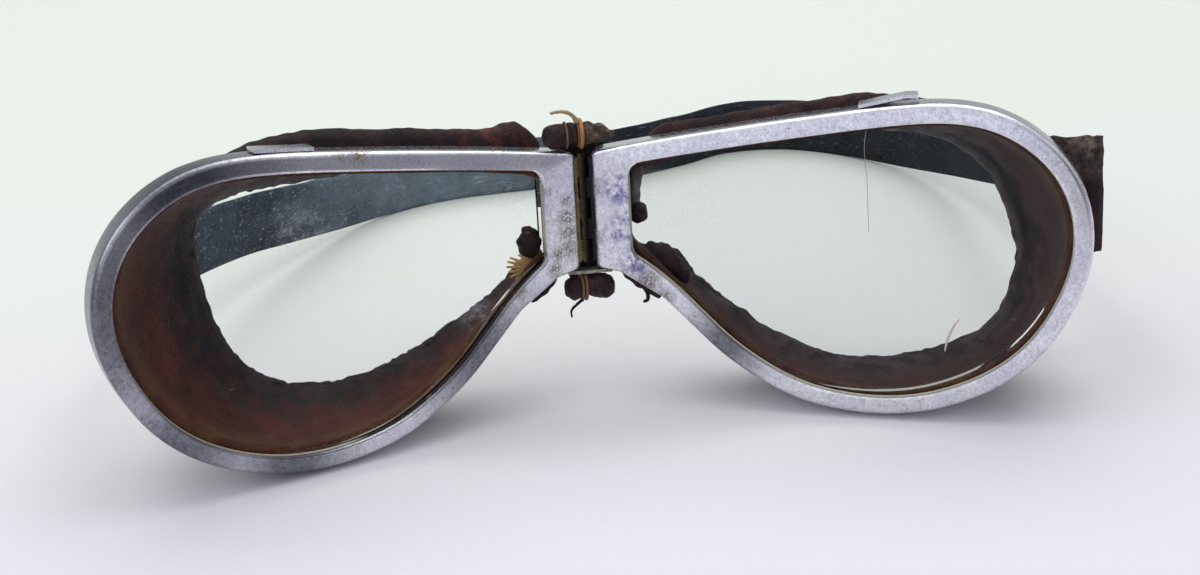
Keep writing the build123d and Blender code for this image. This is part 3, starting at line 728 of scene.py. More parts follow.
def pile_finish(name):
    """Worn black pile with grey and violet dust."""
    paint = Finish(name)
    clump = paint.noise(1.2, detail=6.0, rough=0.75)
    dust = paint.patches(3.0, 0.5, 0.75, detail=7.0, rough=0.75, seed=6.0)
    colour = paint.mix(paint.span(clump, 0.35, 0.7), (0.004, 0.003, 0.006), (0.026, 0.020, 0.027))
    colour = paint.mix(paint.times(dust, 0.5), colour, (0.085, 0.066, 0.078))
    paint.set(base_color=colour, roughness=0.92, sheen_weight=0.12, sheen_roughness=0.5)
    return paint.bump(clump, 0.5, 0.8).bump(paint.noise(0.25, detail=4.0), 0.15, 0.7).material


def felt_finish(name):
    """Yellowed felt packing, painted black along the lower right of the left glass for the shade in the gap there.
    """
    paint = Finish(name)
    fuzz = paint.noise(0.5, detail=6.0, rough=0.8)
    colour = paint.mix(fuzz, (0.30, 0.26, 0.17), (0.66, 0.63, 0.52))
    # Painted shade: the felt turns near black in the shaded gap at the lower right of the left glass.
    dark = paint.span(paint.times(paint.near_any(painted_felt_shade_spots), 2.0), 0, 1)
    paint.set(base_color=paint.mix(dark, colour, (0.012, 0.010, 0.009)), roughness=0.95)
    return paint.bump(fuzz, 0.2, 0.8).material


def thread_finish(name, colour):
    """Waxed twisted thread."""
    paint = Finish(name)
    twist = paint.noise(0.35, detail=3.0, stretch=(1.0, 1.0, 2.5))
    paint.set(base_color=paint.mix(twist, colour, tuple(0.35 * share for share in colour)), roughness=0.6)
    return paint.bump(twist, 0.12, 0.8).material


def elastic_finish(name):
    """Slate blue and black woven elastic with ribs along it, pale scratches and lint, and a lighter stretch on the
    left that is part dust and part painted light.
    """
    paint = Finish(name)
    place = paint.add("UVMap", uv_map="weave").outputs[0]

    def bands(axis, scale):
        inputs = {"Vector": place, "Scale": scale}
        return paint.add("TexWave", inputs, bands_direction=axis, wave_profile="SIN").outputs["Fac"]

    weave = paint.math("MAXIMUM", bands("Y", 0.5), paint.times(bands("X", 0.9), 0.8))
    fade = paint.patches(9.0, 0.35, 0.65, detail=6.0, rough=0.7)
    colour = paint.mix(weave, (0.011, 0.014, 0.020), (0.038, 0.050, 0.066))
    colour = paint.mix(paint.times(fade, 0.6), colour, (0.085, 0.108, 0.135))
    # Part dust, part painted light: the strap made lighter over a stretch on its left, as if it caught the light
    # there.
    dust_and_painted_light = paint.times(paint.span(paint.along("X"), -0.066, -0.040), paint.span(fade, 0, 1, 0.4, 1.0))
    colour = paint.mix(dust_and_painted_light, colour, (0.21, 0.27, 0.32))
    towards_right = paint.span(paint.along("X"), -0.02, 0.012)
    colour = paint.mix(paint.times(towards_right, 0.9), colour, (0.005, 0.005, 0.007))
    lint = paint.patches(0.6, 0.61, 0.70, detail=7.0, rough=0.8, seed=8.0)
    strokes = paint.patches(0.9, 0.60, 0.66, detail=3.0, stretch=(0.25, 1.0, 1.8), seed=5.0)
    pale = paint.math("MAXIMUM", paint.times(lint, 0.6), paint.times(strokes, 0.6))
    pale = paint.times(pale, paint.span(towards_right, 0, 1, 1.0, 0.25))
    paint.set(base_color=paint.mix(pale, colour, (0.40, 0.44, 0.48)), roughness=0.9, specular_ior_level=0.15)
    return paint.bump(weave, 0.25, 0.7).material


def glass_finish(name, tint, smudges):
    """Clear glass with dust, smears and fine scratches, which lets light through to what it covers."""
    paint = Finish(name)
    paint.set(base_color=tint, roughness=0.0, transmission_weight=1.0, ior=1.08)
    specks = paint.patches(0.35, 0.70, 0.76, detail=5.0, rough=0.8)
    smear = paint.patches(6.0, 0.5, 0.8, 0.5, detail=5.0, rough=0.6, seed=5.0)
    long_scratch = paint.patches(1.1, 0.70, 0.73, detail=2.0, stretch=(0.12, 1.0, 3.5), seed=2.0)
    cross_scratch = paint.patches(1.3, 0.735, 0.755, detail=2.0, stretch=(3.5, 1.0, 0.15), seed=13.0)
    marks = paint.times(paint.math("MAXIMUM", long_scratch, cross_scratch), smear, 1.6)
    marks = paint.math("MAXIMUM", marks, paint.times(specks, smear, 2.0))
    smudge = paint.patches(1.6, 0.48, 0.72, detail=7.0, rough=0.8, seed=23.0)
    smudge = paint.times(paint.near_any(smudges), smudge)
    haze = paint.math("ADD", paint.times(marks, 0.5), paint.times(smudge, 0.35))
    haze = paint.math("ADD", haze, 0.001)
    dust = paint.add("BsdfDiffuse", {"Color": (0.75, 0.78, 0.80)}).outputs[0]
    dirty = paint.add("MixShader", {0: haze, 1: paint.shader.outputs[0], 2: dust}).outputs[0]
    lamps = paint.add("LightPath").outputs["Is Shadow Ray"]
    clear = paint.add("BsdfTransparent", {"Color": (0.95, 0.96, 0.955)}).outputs[0]
    through = paint.add("MixShader", {0: lamps, 1: dirty, 2: clear}).outputs[0]
    paint.join(through, paint.output.inputs["Surface"])
    return paint.material


def build_finishes():
    """All materials by name."""
    right, left = cups["right"], cups["left"]
    red_end = (left.at(14, 16, 9), 12.0, (0.10, 0.022, 0.014))
    tan_end = (bridge_place(5.2, roll_heights["upper"]), 5.5, (0.24, 0.18, 0.10))
    grey_corner = (right.at(88, 11, 8), 7.0, (0.17, 0.14, 0.11))
    leathers = {
        "mask_left": ("red_brown_leather", (0.125, 0.024, 0.013), (0.046, 0.009, 0.006), 0.9, 0.42, left),
        "mask_right": ("brown_leather", (0.095, 0.032, 0.028), (0.040, 0.016, 0.017), 0.75, 0.45, right),
        "welt_left": (
            "welt_leather_left", (0.040, 0.015, 0.013), (0.010, 0.005, 0.005), 0.75, 0.5, None, red_end),
        "welt_right": ("welt_leather_right", (0.075, 0.028, 0.022), (0.022, 0.010, 0.009), 0.6),
        # Dark leather, also on the strip behind the gap, whose top stands for painted shade under the upper roll.
        "dark": ("dark_leather", (0.030, 0.016, 0.014), (0.009, 0.006, 0.006)),
        "roll": ("roll_leather", (0.075, 0.038, 0.030), (0.017, 0.011, 0.011), 0.6, 0.5, None, tan_end),
        "lump": ("lump_leather", (0.065, 0.030, 0.026), (0.018, 0.009, 0.009)),
        "tab": ("tab_leather", (0.045, 0.016, 0.013), (0.014, 0.005, 0.005), 0.5, 0.5, None, grey_corner),
    }
    threads = {
        "thread": ("orange_thread", (0.50, 0.23, 0.06)),
        "dry_thread": ("brown_thread", (0.20, 0.105, 0.055)),
        "tan_thread": ("tan_thread", (0.46, 0.34, 0.18)),
        "straw": ("straw_fibre", (0.90, 0.56, 0.20)),
        "pale_splinter": ("pale_splinter", (0.85, 0.74, 0.60)),
        "grey_strip": ("grey_strip", (0.13, 0.115, 0.085)),
        "hair": ("pale_hair", (0.50, 0.42, 0.34)),
    }
    finish = {
        "nickel": nickel_finish("worn_nickel"),
        "tongue_nickel": nickel_finish("tongue_nickel", worn=False),
        "brass": brass_finish("tarnished_brass"),
        "hinge": hinge_finish("hinge_with_painted_gap_shade"),
        "steel": steel_finish("stained_steel", (0.42, 0.41, 0.36)),
        "slider": steel_finish("dull_steel", (0.46, 0.46, 0.47)),
        "pile": pile_finish("black_pile"),
        "felt": felt_finish("yellowed_felt"),
        "elastic": elastic_finish("dark_elastic"),
        "glass_left": glass_finish("old_glass_left", (0.93, 0.945, 0.925), hazes["left"]),
        "glass_right": glass_finish("old_glass_right", (0.83, 0.85, 0.835), hazes["right"]),
    }
    finish.update((look, leather_finish(*values)) for look, values in leathers.items())
    finish.update((look, thread_finish(*values)) for look, values in threads.items())
    return finish


def rim_outlines():
    """A rim's inner and outer outlines with matching stations, from the middle of the nose bar."""
    curve = spline(opening_points, 10)
    top, bottom = Vector(opening_points[0]), Vector(opening_points[-1])
    first = next(i for i, spot in enumerate(curve) if (spot - top).length > top_corner_reach)
    last = next(i for i, spot in enumerate(reversed(curve)) if (spot - bottom).length > bottom_corner_reach)
    middle = (top.y + bottom.y) / 2
    top_bend = bend((top.x, top.y - top_corner_reach), top, curve[first])
    bottom_bend = bend(curve[-last - 1], bottom, (bottom.x, bottom.y + bottom_corner_reach))
    half = len(top_bend) // 2
    inner = (
        [(top.x, middle), *top_bend[: half + 1]],
        [*top_bend[half:], *curve[first:-last], *bottom_bend[: half + 1]],
        [*bottom_bend[half:], (bottom.x, middle)],
    )
    curve = spline(outset(opening_points, rim_width)[shoulder_start:shoulder_end], 10)
    corner = Vector((0, bar_top))
    top_bend = bend((0, bar_top - bar_corner), corner, corner.lerp(curve[0], bar_top_corner_share))
    foot_corner = (bar_corner, -bar_bottom - bar_foot_drop * bar_corner / bar_foot)
    bottom_bend = bend(foot_corner, (0, -bar_bottom), (0, bar_corner - bar_bottom))
    outer = (
        [(0, middle), *top_bend[: half + 1]],
        [*top_bend[half:], *curve, (bar_foot, -bar_bottom - bar_foot_drop), *bottom_bend[: half + 1]],
        [*bottom_bend[half:], (0, middle)],
    )
    result = []
    for parts in (inner, outer):
        loop = []
        for part, count in zip(parts, (nose_stations, rim_stations, nose_stations)):
            loop += resample(part, count)[:-1]
        result.append(loop)
    return result


def build_rim(cup, finish):
    """Polished band with a rounded outer edge, a thin bright inner edge, a side wall and a turned-in lip."""
    inner, outer = rim_outlines()

    def ring(from_inner, inset, depth, dent=0.0):
        row = []
        for near, far in zip(inner, outer):
            width = (far - near).length
            spot = near.lerp(far, inset / width) if from_inner else far.lerp(near, inset / width)
            place = cup.at(spot.x, spot.y, depth)
            row.append(place - cup.normal() * dent * ripple(place, dent_size, cup.sign * 4.0))
        return row

    rows = [ring(True, inset, depth) for inset, depth in inner_edge]
    rows.append(ring(True, band_flat_inset, 0.0, inner_dent))
    rows.append(ring(False, rim_crown + band_flat_inset, band_slope, outer_dent))
    for step in range(crown_stations + 1):
        turn = math.pi / 2 * step / crown_stations
        depth = band_slope * 1.25 + (rim_crown - crown_step) * (1 - math.cos(turn))
        rows.append(ring(False, rim_crown * (1 - math.sin(turn)), depth))
    rows += [ring(False, inset, rim_depth - before) for inset, before in rear_edge]
    rows += [
        ring(True, lip_reach + lip_round, rim_depth),
        ring(True, lip_reach, rim_depth - lip_round),
        ring(True, lip_reach, rim_depth - lip_thickness),
        ring(False, rim_wall, rim_depth - lip_thickness),
        ring(False, rim_wall, band_thickness + band_slope),
    ]
    mesh = grid_mesh(f"rim_shell_{cup.name}", rows, close_rows=True, close_columns=True)
    piece(mesh, finish["nickel"], cup.body, [f"rim_{cup.name}"])
    mesh.set_sharp_from_angle(angle=math.radians(rim_sharp_angle))


def mask_loops(cup):
    """The leather's front and rear outlines, with matching stations."""
    moved = outset(opening_points, -mask_inset)
    front = [moved[index] for index in mask_points_used]
    front += [(mask_nose_edge, mask_nose_low), (mask_nose_edge, mask_nose_high)]
    rear = rear_edges[cup.name]
    per_span = mask_stations // len(rear)
    return spline(front, per_span, closed=True), spline(rear, per_span, closed=True)


def mask_place(cup, near, far, share, outwards=0.0):
    """A place on the leather's wall: share 0 is behind the glass and 1 is the rear edge."""
    spot = near.lerp(far, share)
    bulge = mask_bulge * math.sin(math.pi * min(share * 1.15, 1.0)) + outwards
    spot = spot + (spot - opening_middle).normalized() * bulge
    depth = mask_front + (mask_nose_depth + spot.x * mask_tilt_share - mask_front) * share
    return cup.at(spot.x, spot.y, depth)


def mask_share(near, depth):
    """The share of the wall at a depth."""
    return min(1.0, (depth - mask_front) / (mask_nose_depth + near.x * mask_tilt_share - mask_front))


def whole_share(cup, near):
    """How much of the wall is left at a station: 1 where the leather is whole."""
    rag = tear_rag * waves((near.x, near.y, 0.0), (1.0, 3.0, 4.0 + cup.sign), (0.5, 1.1, 9.0))
    slant = max((near.x - tear_reach[cup.name]) / tear_slant, 0.0)
    depth = rim_depth + torn_past_rim + slant * (tear_full_depth - rim_depth) + rag
    if near.y > 0 and near.x > top_tear_start:
        return mask_share(near, max(depth, flange_rear + 0.1 + torn_past_flange))
    if near.x > bottom_tear_end:
        return 1.0
    torn = mask_share(near, flange_rear + torn_past_flange)
    below = ease(tear_bottom[cup.name] - near.y + rag * 0.6, -tear_ramp, tear_ramp)
    return torn + (1 - torn) * below


def build_mask(cup, finish):
    """Wrinkled leather cup with a thick, uneven wall, torn away beside the nose and along part of the top."""
    front, rear = mask_loops(cup)
    limits = [whole_share(cup, near) for near in front]

    def flange(depth):
        outwards = [(near - opening_middle).normalized() * mask_flange for near in front]
        return [cup.at(*(near + reach), depth) for near, reach in zip(front, outwards)]

    rows = [flange(flange_front)]
    shares = [0.0] * len(front)
    for outer, order in ((False, range(mask_rows + 1)), (True, reversed(range(mask_rows + 1)))):
        for step in order:
            row = []
            for near, far, limit in zip(front, rear, limits):
                share = limit * step / mask_rows
                base = mask_place(cup, near, far, share)
                crease = waves(base, (0.55, 5.5, 3.0 + cup.sign), (0.3, 2.2, 8.0))
                fold = 0.7 * max(0.0, ripple((base.x, base.y * 0.4, base.z), 7.0, 5.0 * cup.sign) - 0.1)
                push = (crease + fold) * math.sin(math.pi * share * 0.62)
                slack = mask_wall * (1 - 0.25 * share) if outer else 0.0
                row.append(mask_place(cup, near, far, share, push + slack))
                shares.append(share)
            rows.append(row)
    rows.append(flange(flange_rear))
    shares += [0.0] * len(front)
    mesh = grid_mesh(f"leather_mask_{cup.name}", rows, close_rows=True, close_columns=True, shares=shares)
    piece(mesh, finish[f"mask_{cup.name}"], cup.body, [f"mask_{cup.name}"])


def build_trim(cup, finish):
    """Uneven roll of worn pile along the leather's rear edge, as far as the leather is whole."""
    front, rear = mask_loops(cup)
    whole = [index for index, near in enumerate(front) if whole_share(cup, near) > 0.97]
    whole = range(min(whole), max(whole) + 1)
    centres, radii = [], []
    for count, index in enumerate(whole):
        near, far = front[index], rear[index]
        base = mask_place(cup, near, far, 1.0, 0.5)
        ends = min(count, len(whole) - 1 - count) / trim_end_stations
        swell = 1 + waves(base, (0.3, 3.2, 1.0), (0.2, 1.3, 9.0))
        radii.append(trim_radius * swell * min(1.0, 0.25 + ends))
        outwards = trim_radius + 0.3 * ripple(base, 4.0, 6.0)
        sunk = 0.45 + 0.45 * ripple(base, 6.0, 2.0)
        centres.append(mask_place(cup, near, far, 1.0, outwards) - cup.normal() * sunk)
    mesh = tube_mesh(f"rear_trim_{cup.name}", centres, radii, sides=14, rough=0.4, size=1.1, seed=cup.sign)
    piece(mesh, finish["pile"], cup.body, [f"mask_trim_{cup.name}"])


def build_welt(cup, finish):
    """Dry leather welt behind the top of the rim. The left one is bunched at its nose end."""
    points = list(opening_points[welt_first:welt_last])
    if cup.name == "left":
        points = [welt_left_start, opening_points[0], *points]
    curve = resample(spline(points, 8), welt_stations)
    rows = []
    for index, spot in enumerate(curve):
        before, after = curve[max(index - 1, 0)], curve[min(index + 1, welt_stations - 1)]
        run = (after - before).normalized()
        outward = Vector((-run.y, run.x))
        share = index / (welt_stations - 1)
        bunch = 0.0
        if cup.name == "left":
            bunch = bunch_height * math.exp(-((share - bunch_place_share) / bunch_width_share) ** 2)
        taper = min(1.0 - 0.95 * ease(share, 0.62, 1.0), 0.6 + 8 * share)
        row = []
        for deep, out in welt_section_shares:
            reach = welt_inner + (welt_outer[cup.name] - welt_inner) * out * taper
            depth = rim_depth + welt_gap + welt_thickness[cup.name] * deep * (0.6 + 0.4 * taper)
            base = spot + outward * (reach + bunch * 0.8 * out)
            place = cup.at(base.x, base.y, depth)
            if out > 0.5:
                wave = waves(place, (0.35, 6.0, 1.0), (0.3 + 0.5 * bunch, 2.0, 4.0))
                place = cup.at(base.x + outward.x * wave, base.y + outward.y * wave, depth + 0.3 * wave)
            row.append(place)
        rows.append(row)
    mesh = grid_mesh(f"top_welt_{cup.name}", rows, close_columns=True, cap=True)
    made = piece(mesh, finish[f"welt_{cup.name}"], cup.body, [f"welt_{cup.name}"])
    smooth = made.modifiers.new("rounded", "SUBSURF")
    smooth.levels = smooth.render_levels = 1


def strap_place(spot):
    """A place of the strap's route in the frame."""
    return Vector((spot[0] + hinge_base.x, spot[1] + hinge_base.y, spot[2]))


def mirrored(spot):
    return (-spot[0], spot[1], spot[2])


def strap_section(centre, run, offset=0.0):
    """The band's outline across its run: rounded edges, with a slightly wavy upper border."""
    out = run.cross(Vector((0, 0, 1))).normalized()
    up = out.cross(run)
    wave = strap_wave * ripple(centre, strap_wave_size)
    row = []
    for across, high in strap_section_shares:
        lift = high * strap_width + (wave if high > 0 else 0.0)
        row.append(centre + out * (across * strap_thickness + offset) + up * lift)
    return row


def band_mesh(name, rows, lengths):
    """A band through its sections, with texture coordinates in millimetres: along it, then its height."""
    mesh = grid_mesh(name, rows, close_columns=True, cap=True)
    layer = mesh.uv_layers.new(name="weave")
    for loop in mesh.loops:
        row = loop.vertex_index // len(strap_section_shares)
        layer.data[loop.index].uv = (lengths[row], mesh.vertices[loop.vertex_index].co.z / MM)
    return mesh


def build_strap(finish):
    """Elastic band from tab to tab, with its free end folded back outside it at the right tab."""
    anchor, right_end = strap_place(strap_right_anchor), strap_place(strap_right_end)
    left_anchor, left_end = strap_place(strap_left_anchor), strap_place(strap_left_end)
    far = [strap_place(spot) for spot in strap_far_points]
    bows = spline([right_end, *far, left_end], 12)
    route = resample([anchor, anchor.lerp(right_end, 0.5), *bows, left_anchor], strap_stations)
    rows, lengths = [], []
    for index, centre in enumerate(route):
        run = (route[min(index + 1, strap_stations - 1)] - route[max(index - 1, 0)]).normalized()
        rows.append(strap_section(centre, run))
        lengths.append(lengths[-1] + (centre - route[index - 1]).length if index else 0.0)
    mesh = band_mesh("elastic_strap", rows, lengths)
    band = piece(mesh, finish["elastic"], replaced=["strap"])
    start, end = strap_place(strap_bend_start) * MM, strap_place(strap_bend_end) * MM
    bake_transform(band)
    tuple(start)
    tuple(end)

    right_run = (right_end - anchor).normalized()
    layer_pitch = strap_thickness + free_end_gap
    lengths = [free_end_length * step / (free_end_stations - 1) for step in range(free_end_stations)]
    rows = [strap_section(anchor + right_run * along, right_run, layer_pitch) for along in lengths]
    piece(band_mesh("elastic_free_end", rows, lengths), finish["elastic"], "right_eyecup")


def tab_inner(name, up):
    """How far across the tab begins at a height."""
    points = sorted(tab_inner_points[name], key=lambda point: point[1])
    for (near_across, near_up), (far_across, far_up) in zip(points, points[1:]):
        if up <= far_up:
            share = max(up - near_up, 0.0) / (far_up - near_up)
            return near_across + (far_across - near_across) * share
    return points[-1][0]


def build_tab(cup, finish):
    """Ragged leather tab from behind the rim, bent back along the inside of the strap."""
    if cup.name == "right":
        anchor, far_end = strap_place(strap_right_anchor), strap_place(strap_right_end)
    else:
        anchor, far_end = strap_place(mirrored(strap_left_anchor)), strap_place(mirrored(strap_left_end))
    run = (far_end - anchor).normalized()
    out = run.cross(Vector((0, 0, 1))).normalized()
    up = out.cross(run)
    seam = anchor - out * (strap_thickness / 2 + tab_clearance + tab_thickness / 2)
    half = (strap_width - tab_margin) / 2
    right = cups["right"]
    fold = tab_bend[cup.name]
    bottom = tab_bottom[cup.name]
    full = tab_top[cup.name] + bottom

    def place(path, share):
        """Middle surface of the tab: path runs from the rim to the seam's end, share from bottom to top."""
        height = -bottom + full * share
        level = (share - 0.5) * 2 * half
        stops = (
            (0.0, right.at(tab_inner(cup.name, height), height, tab_depth + tab_thickness / 2)),
            (0.28, right.at(fold - tab_bend_reach, height, tab_depth + tab_thickness / 2)),
            (0.36, right.at(fold - tab_bend_end, height, tab_depth + tab_thickness)),
            (0.68, seam + up * level),
            (1.0, seam + run * tab_overlap + up * level),
        )
        for (first, a), (second, b) in zip(stops, stops[1:]):
            if path <= second:
                return a.lerp(b, (path - first) / (second - first))
        return stops[-1][1]

    rows = []
    for index in range(2 * (tab_path_steps + 1)):
        front = index <= tab_path_steps
        step = index if front else 2 * tab_path_steps + 1 - index
        path = step / tab_path_steps
        row = []
        for column in range(tab_columns + 1):
            share = column / tab_columns
            spot = place(path, share)
            ahead = place(min(path + 0.02, 1.0), share) - place(max(path - 0.02, 0.0), share)
            side = ahead.cross(up).normalized()
            border = ease(abs(share - 0.5), 0.42, 0.5)
            rag = tab_rag * border * (1 if share > 0.5 else 0.5)
            ragged = rag * ripple((path * 14, share * 2, 1.0), 1.0, 3.0)
            dent = waves(spot, (0.32, 3.5, 2.0), (0.2, 1.2, 7.0))
            thick = tab_thickness * (0.46 - 0.12 * border)
            spot = spot + side * ((thick if front else -thick) + dent) + up * ragged
            row.append(cup.mirror(spot))
        rows.append(row)
    mesh = grid_mesh(f"leather_tab_{cup.name}", rows, close_rows=True)
    fill_holes(mesh)
    piece(mesh, finish["tab"], cup.body, [f"strap_tab_{cup.name}"])


def bridge_place(across, height, depth=roll_depth):
    """A place on the line that follows both bars in front of the hinge."""
    away = (depth - hinge_depth) * 1.05 - abs(across) * fold_tangent
    return hinge_base + Vector((across, 0, 0)) + hinge_up * height - hinge_forward * away


def bridge_piece(mesh, material, replaced=()):
    """A piece across the hinge, shaped over both bars, with its place baked into its mesh."""
    made = piece(mesh, material, replaced=replaced)
    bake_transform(made)


def build_roll(roll, profile, seed, finish):
    """Rolled leather lashing across both bars."""
    line = spline([(across, radius, 0.0) for across, radius in profile], 5)
    centres = []
    for spot in line:
        height = roll_heights[roll] + 0.15 * ripple((spot.x, seed, 0), 2.0, seed)
        centres.append(bridge_place(spot.x, height))
    radii = [max(spot.y, 0.2) for spot in line]
    mesh = tube_mesh(f"leather_roll_{roll}", centres, radii, sides=28, rough=0.42, size=1.3, seed=seed)
    bridge_piece(mesh, finish["roll"], [f"bridge_roll_{roll}"])


def ring_points(across, height, radius, steps=28):
    """One closed turn of thread around a roll."""
    centre = bridge_place(across, height)
    result = []
    for step in range(steps):
        turn = 2 * math.pi * step / steps
        around = hinge_up * (radius * math.cos(turn)) + hinge_forward * (radius * math.sin(turn))
        result.append(centre + around + Vector((thread_skew * math.sin(turn), 0, 0)))
    return result


def build_threads(finish):
    """Turns of thread and their loose tails."""
    for index, (roll, across, thickness, radius, look) in enumerate(thread_turns):
        points = ring_points(across, roll_heights[roll], radius)
        radii = [thickness] * len(points)
        mesh = tube_mesh(f"thread_turn_{index}", points, radii, sides=8, rough=0.06, closed=True)
        bridge_piece(mesh, finish[look], [f"bridge_thread_{roll}"])
    for index, (roll, spots, thickness, look) in enumerate(thread_tails):
        height = roll_heights[roll]
        line = spline([bridge_place(across, height + rise, tail_depth) for across, rise in spots], 6)
        radii = [thickness * (1 - 0.45 * step / len(line)) for step in range(len(line))]
        mesh = tube_mesh(f"thread_tail_{index}", line, radii, sides=8, rough=0.1, size=0.6)
        bridge_piece(mesh, finish[look])


def build_bridge_leather(finish):
    """Dark strip of leather behind the gap, whose top stands for the shade under the upper roll."""
    rows = []
    levels = range(bridge_leather_levels + 1)
    for depth, order in zip(bridge_leather_depths, (levels, reversed(levels))):
        for level in order:
            row = []
            for column in range(bridge_leather_columns + 1):
                across = bridge_leather_half * (2 * column / bridge_leather_columns - 1)
                top = bridge_leather_top - 3.0 * ease(abs(across), 3.5, 6.0)
                bottom = bridge_leather_bottom + 4.5 * ease(abs(across), 2.5, 4.5)
                height = bottom + (top - bottom) * level / bridge_leather_levels
                spot = bridge_place(across, height, depth)
                row.append(spot + Vector((0, 0.18 * ripple(spot, 2.0, 3.0), 0)))
            rows.append(row)
    mesh = grid_mesh("leather_bridge", rows, close_rows=True)
    bridge_piece(mesh, finish["dark"], ["bridge_leather"])


def build_scraps(finish):
    """Rolled and torn leather ends, straw, a splinter and a hair."""
    for index, (name, (side, look, rough, stops)) in enumerate(scraps.items()):
        cup = cups[side]
        line = spline([(*cup.at(across, up, depth), radius) for across, up, depth, radius in stops], 7)
        centres = [Vector(spot[:3]) for spot in line]
        radii = [max(spot[3], 0.03) for spot in line]
        mesh = tube_mesh(name, centres, radii, sides=18, rough=rough, size=1.4, seed=float(index))
        piece(mesh, finish[look], cup.body)
    cup = cups["left"]
    for index, tip in enumerate(straw_tips):
        root = straw_roots[index % len(straw_roots)]
        lift = 0.4 * ripple((index, 0, 0), 1.3, 2.0)
        middle = ((root[0] + tip[0]) / 2, (root[1] + tip[1]) / 2 + lift)
        tip_depth = straw_depth + 0.5 * ripple((index, 3, 0), 1.3, 5.0)
        stops = ((*root, straw_root_depth), (*middle, straw_depth), (*tip, tip_depth))
        centres = spline([cup.at(*stop) for stop in stops], 5)
        radii = [straw_radius * (1 - 0.7 * step / len(centres)) for step in range(len(centres))]
        piece(tube_mesh(f"straw_{index}", centres, radii, sides=7), finish["straw"], cup.body)


def dress_solids(finish):
    """Materials of the solids that stay as they are."""
    looks = {
        "lens_right": "glass_right", "lens_left": "glass_left", "lens_packing_right": "felt",
        "lens_packing_left": "felt", "back_frame_right": "brass", "back_frame_left": "brass",
        "closure_tongue_right": "tongue_nickel", "closure_tongue_left": "tongue_nickel",
        "hinge_leaf_right": "hinge", "hinge_leaf_left": "hinge", "hinge_pin": "hinge",
        "bridge_edge_strip": "steel", "strap_slider": "slider",
        "tab_stitching_right": "thread", "tab_stitching_left": "thread",
    }
    for node, look in looks.items():
        solid = frame["nodes"][node]
        solid.data.materials.clear()
        solid.data.materials.append(finish[look])


def build_goggles():
    """Every piece of the goggles."""
    finish = build_finishes()
    dress_solids(finish)
    for cup in cups.values():
        build_rim(cup, finish)
        build_mask(cup, finish)
        build_trim(cup, finish)
        build_welt(cup, finish)
        build_tab(cup, finish)
    build_roll("upper", upper_roll, 2.0, finish)
    build_roll("lower", lower_roll, 5.0, finish)
    build_threads(finish)
    build_bridge_leather(finish)
    build_scraps(finish)
    build_strap(finish)


def cloth_finish():
    """Pale smooth cloth: lavender white near the camera, greenish white behind."""
    paint = Finish("pale_cloth")
    depth = paint.along("Y")
    colour = paint.mix(paint.span(depth, -0.10, 0.10), (0.72, 0.70, 0.745), (0.67, 0.72, 0.65))
    paint.set(base_color=colour, roughness=0.8, specular_ior_level=0.2)
    across = paint.math("ADD", paint.times(paint.along("X"), 0.8), paint.times(depth, 0.6))
    threads = paint.math("SINE", paint.times(across, 2 * math.pi / (0.9 * MM)))
    return paint.bump(threads, 0.03, 0.35).bump(paint.noise(1.2, detail=3.0), 0.05, 0.3).material


def build_stage():
    """Floor and curved backdrop, in metres."""
    half, front, back, top = 4.0, -3.0, 1.6, 3.0
    curve, steps = 0.8, 12
    profile = [(front, 0.0), (back, 0.0)]
    for step in range(1, steps + 1):
        turn = math.pi / 2 * step / steps
        profile.append((back + curve * math.sin(turn), curve * (1 - math.cos(turn))))
    profile.append((profile[-1][0], top))
    mesh = bpy.data.meshes.new("floor")
    spots = [(x, y, z) for y, z in profile for x in (-half, half)]
    faces = [(2 * i, 2 * i + 1, 2 * i + 3, 2 * i + 2) for i in range(len(profile) - 1)]
    mesh.from_pydata(spots, [], faces)
    mesh.shade_smooth()
    mesh.materials.append(cloth_finish())
    add_object("floor", mesh)


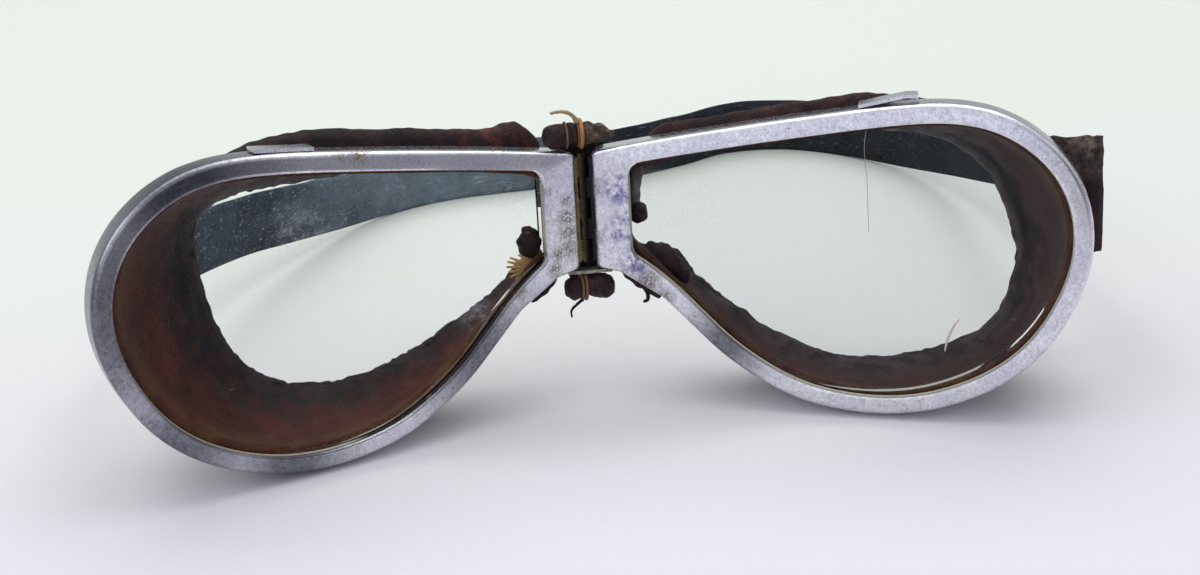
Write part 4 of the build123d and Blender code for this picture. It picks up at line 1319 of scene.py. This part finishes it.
def area_light(name, place, target, size, watts, colour):
    """A soft lamp that faces the target, in metres."""
    lamp = bpy.data.lights.new(name, "AREA")
    lamp.shape = "RECTANGLE"
    lamp.size, lamp.size_y = size
    lamp.energy = watts
    lamp.color = colour
    made = add_object(name, lamp)
    made.location = place
    made.rotation_euler = (Vector(target) - Vector(place)).to_track_quat("-Z", "Y").to_euler()


def build_light():
    """Soft light from above and a dim room, brighter and darker in front, which the metal shows."""
    area_light("overhead", (0.04, 0.25, 0.95), (0.0, 0, 0), (1.2, 1.0), 7.2, (1.0, 0.99, 0.97))
    area_light("window", (-0.75, -0.35, 0.6), (0, 0, 0.02), (0.5, 0.5), 1.1, (0.97, 0.98, 1.0))
    world = bpy.data.worlds.new("room")
    bpy.context.scene.world = world
    world.use_nodes = True
    room = Nodes(world.node_tree, "Generated")
    sky = room.mix(room.span(room.along("Z"), -0.2, 0.75), (0.16, 0.16, 0.20), (0.80, 0.80, 0.86))
    patches = (
        ((-0.37, -0.88, 0.28), 0.86, 0.97, (0.95, 0.95, 1.08)),
        ((0.40, -0.87, 0.28), 0.93, 0.985, (0.05, 0.05, 0.06)),
    )
    for centre, low, high, colour in patches:
        inputs = {0: room.place, 1: Vector(centre).normalized()}
        towards = room.add("VectorMath", inputs, operation="DOT_PRODUCT").outputs["Value"]
        sky = room.mix(room.span(towards, low, high), sky, colour)
    background = room.tree.nodes["Background"]
    room.join(sky, background.inputs["Color"])
    background.inputs["Strength"].default_value = 0.98


def build_camera():
    """Camera at the photograph's place."""
    lens = bpy.data.cameras.new("camera")
    lens.sensor_fit = "HORIZONTAL"
    lens.sensor_width = sensor_width
    lens.lens = focal_pixels / photo_width * sensor_width
    lens.clip_start = 0.01
    made = add_object("camera", lens)
    made.location = camera_place * MM
    turn = made.rotation_euler.to_matrix()
    for row in range(3):
        turn[row] = (camera_right[row], camera_up[row], -camera_forward[row])
    made.rotation_euler = turn.to_euler()
    bpy.context.scene.camera = made


build_goggles()
build_stage()
build_light()
build_camera()
bpy.context.scene.view_settings.view_transform = "Standard"
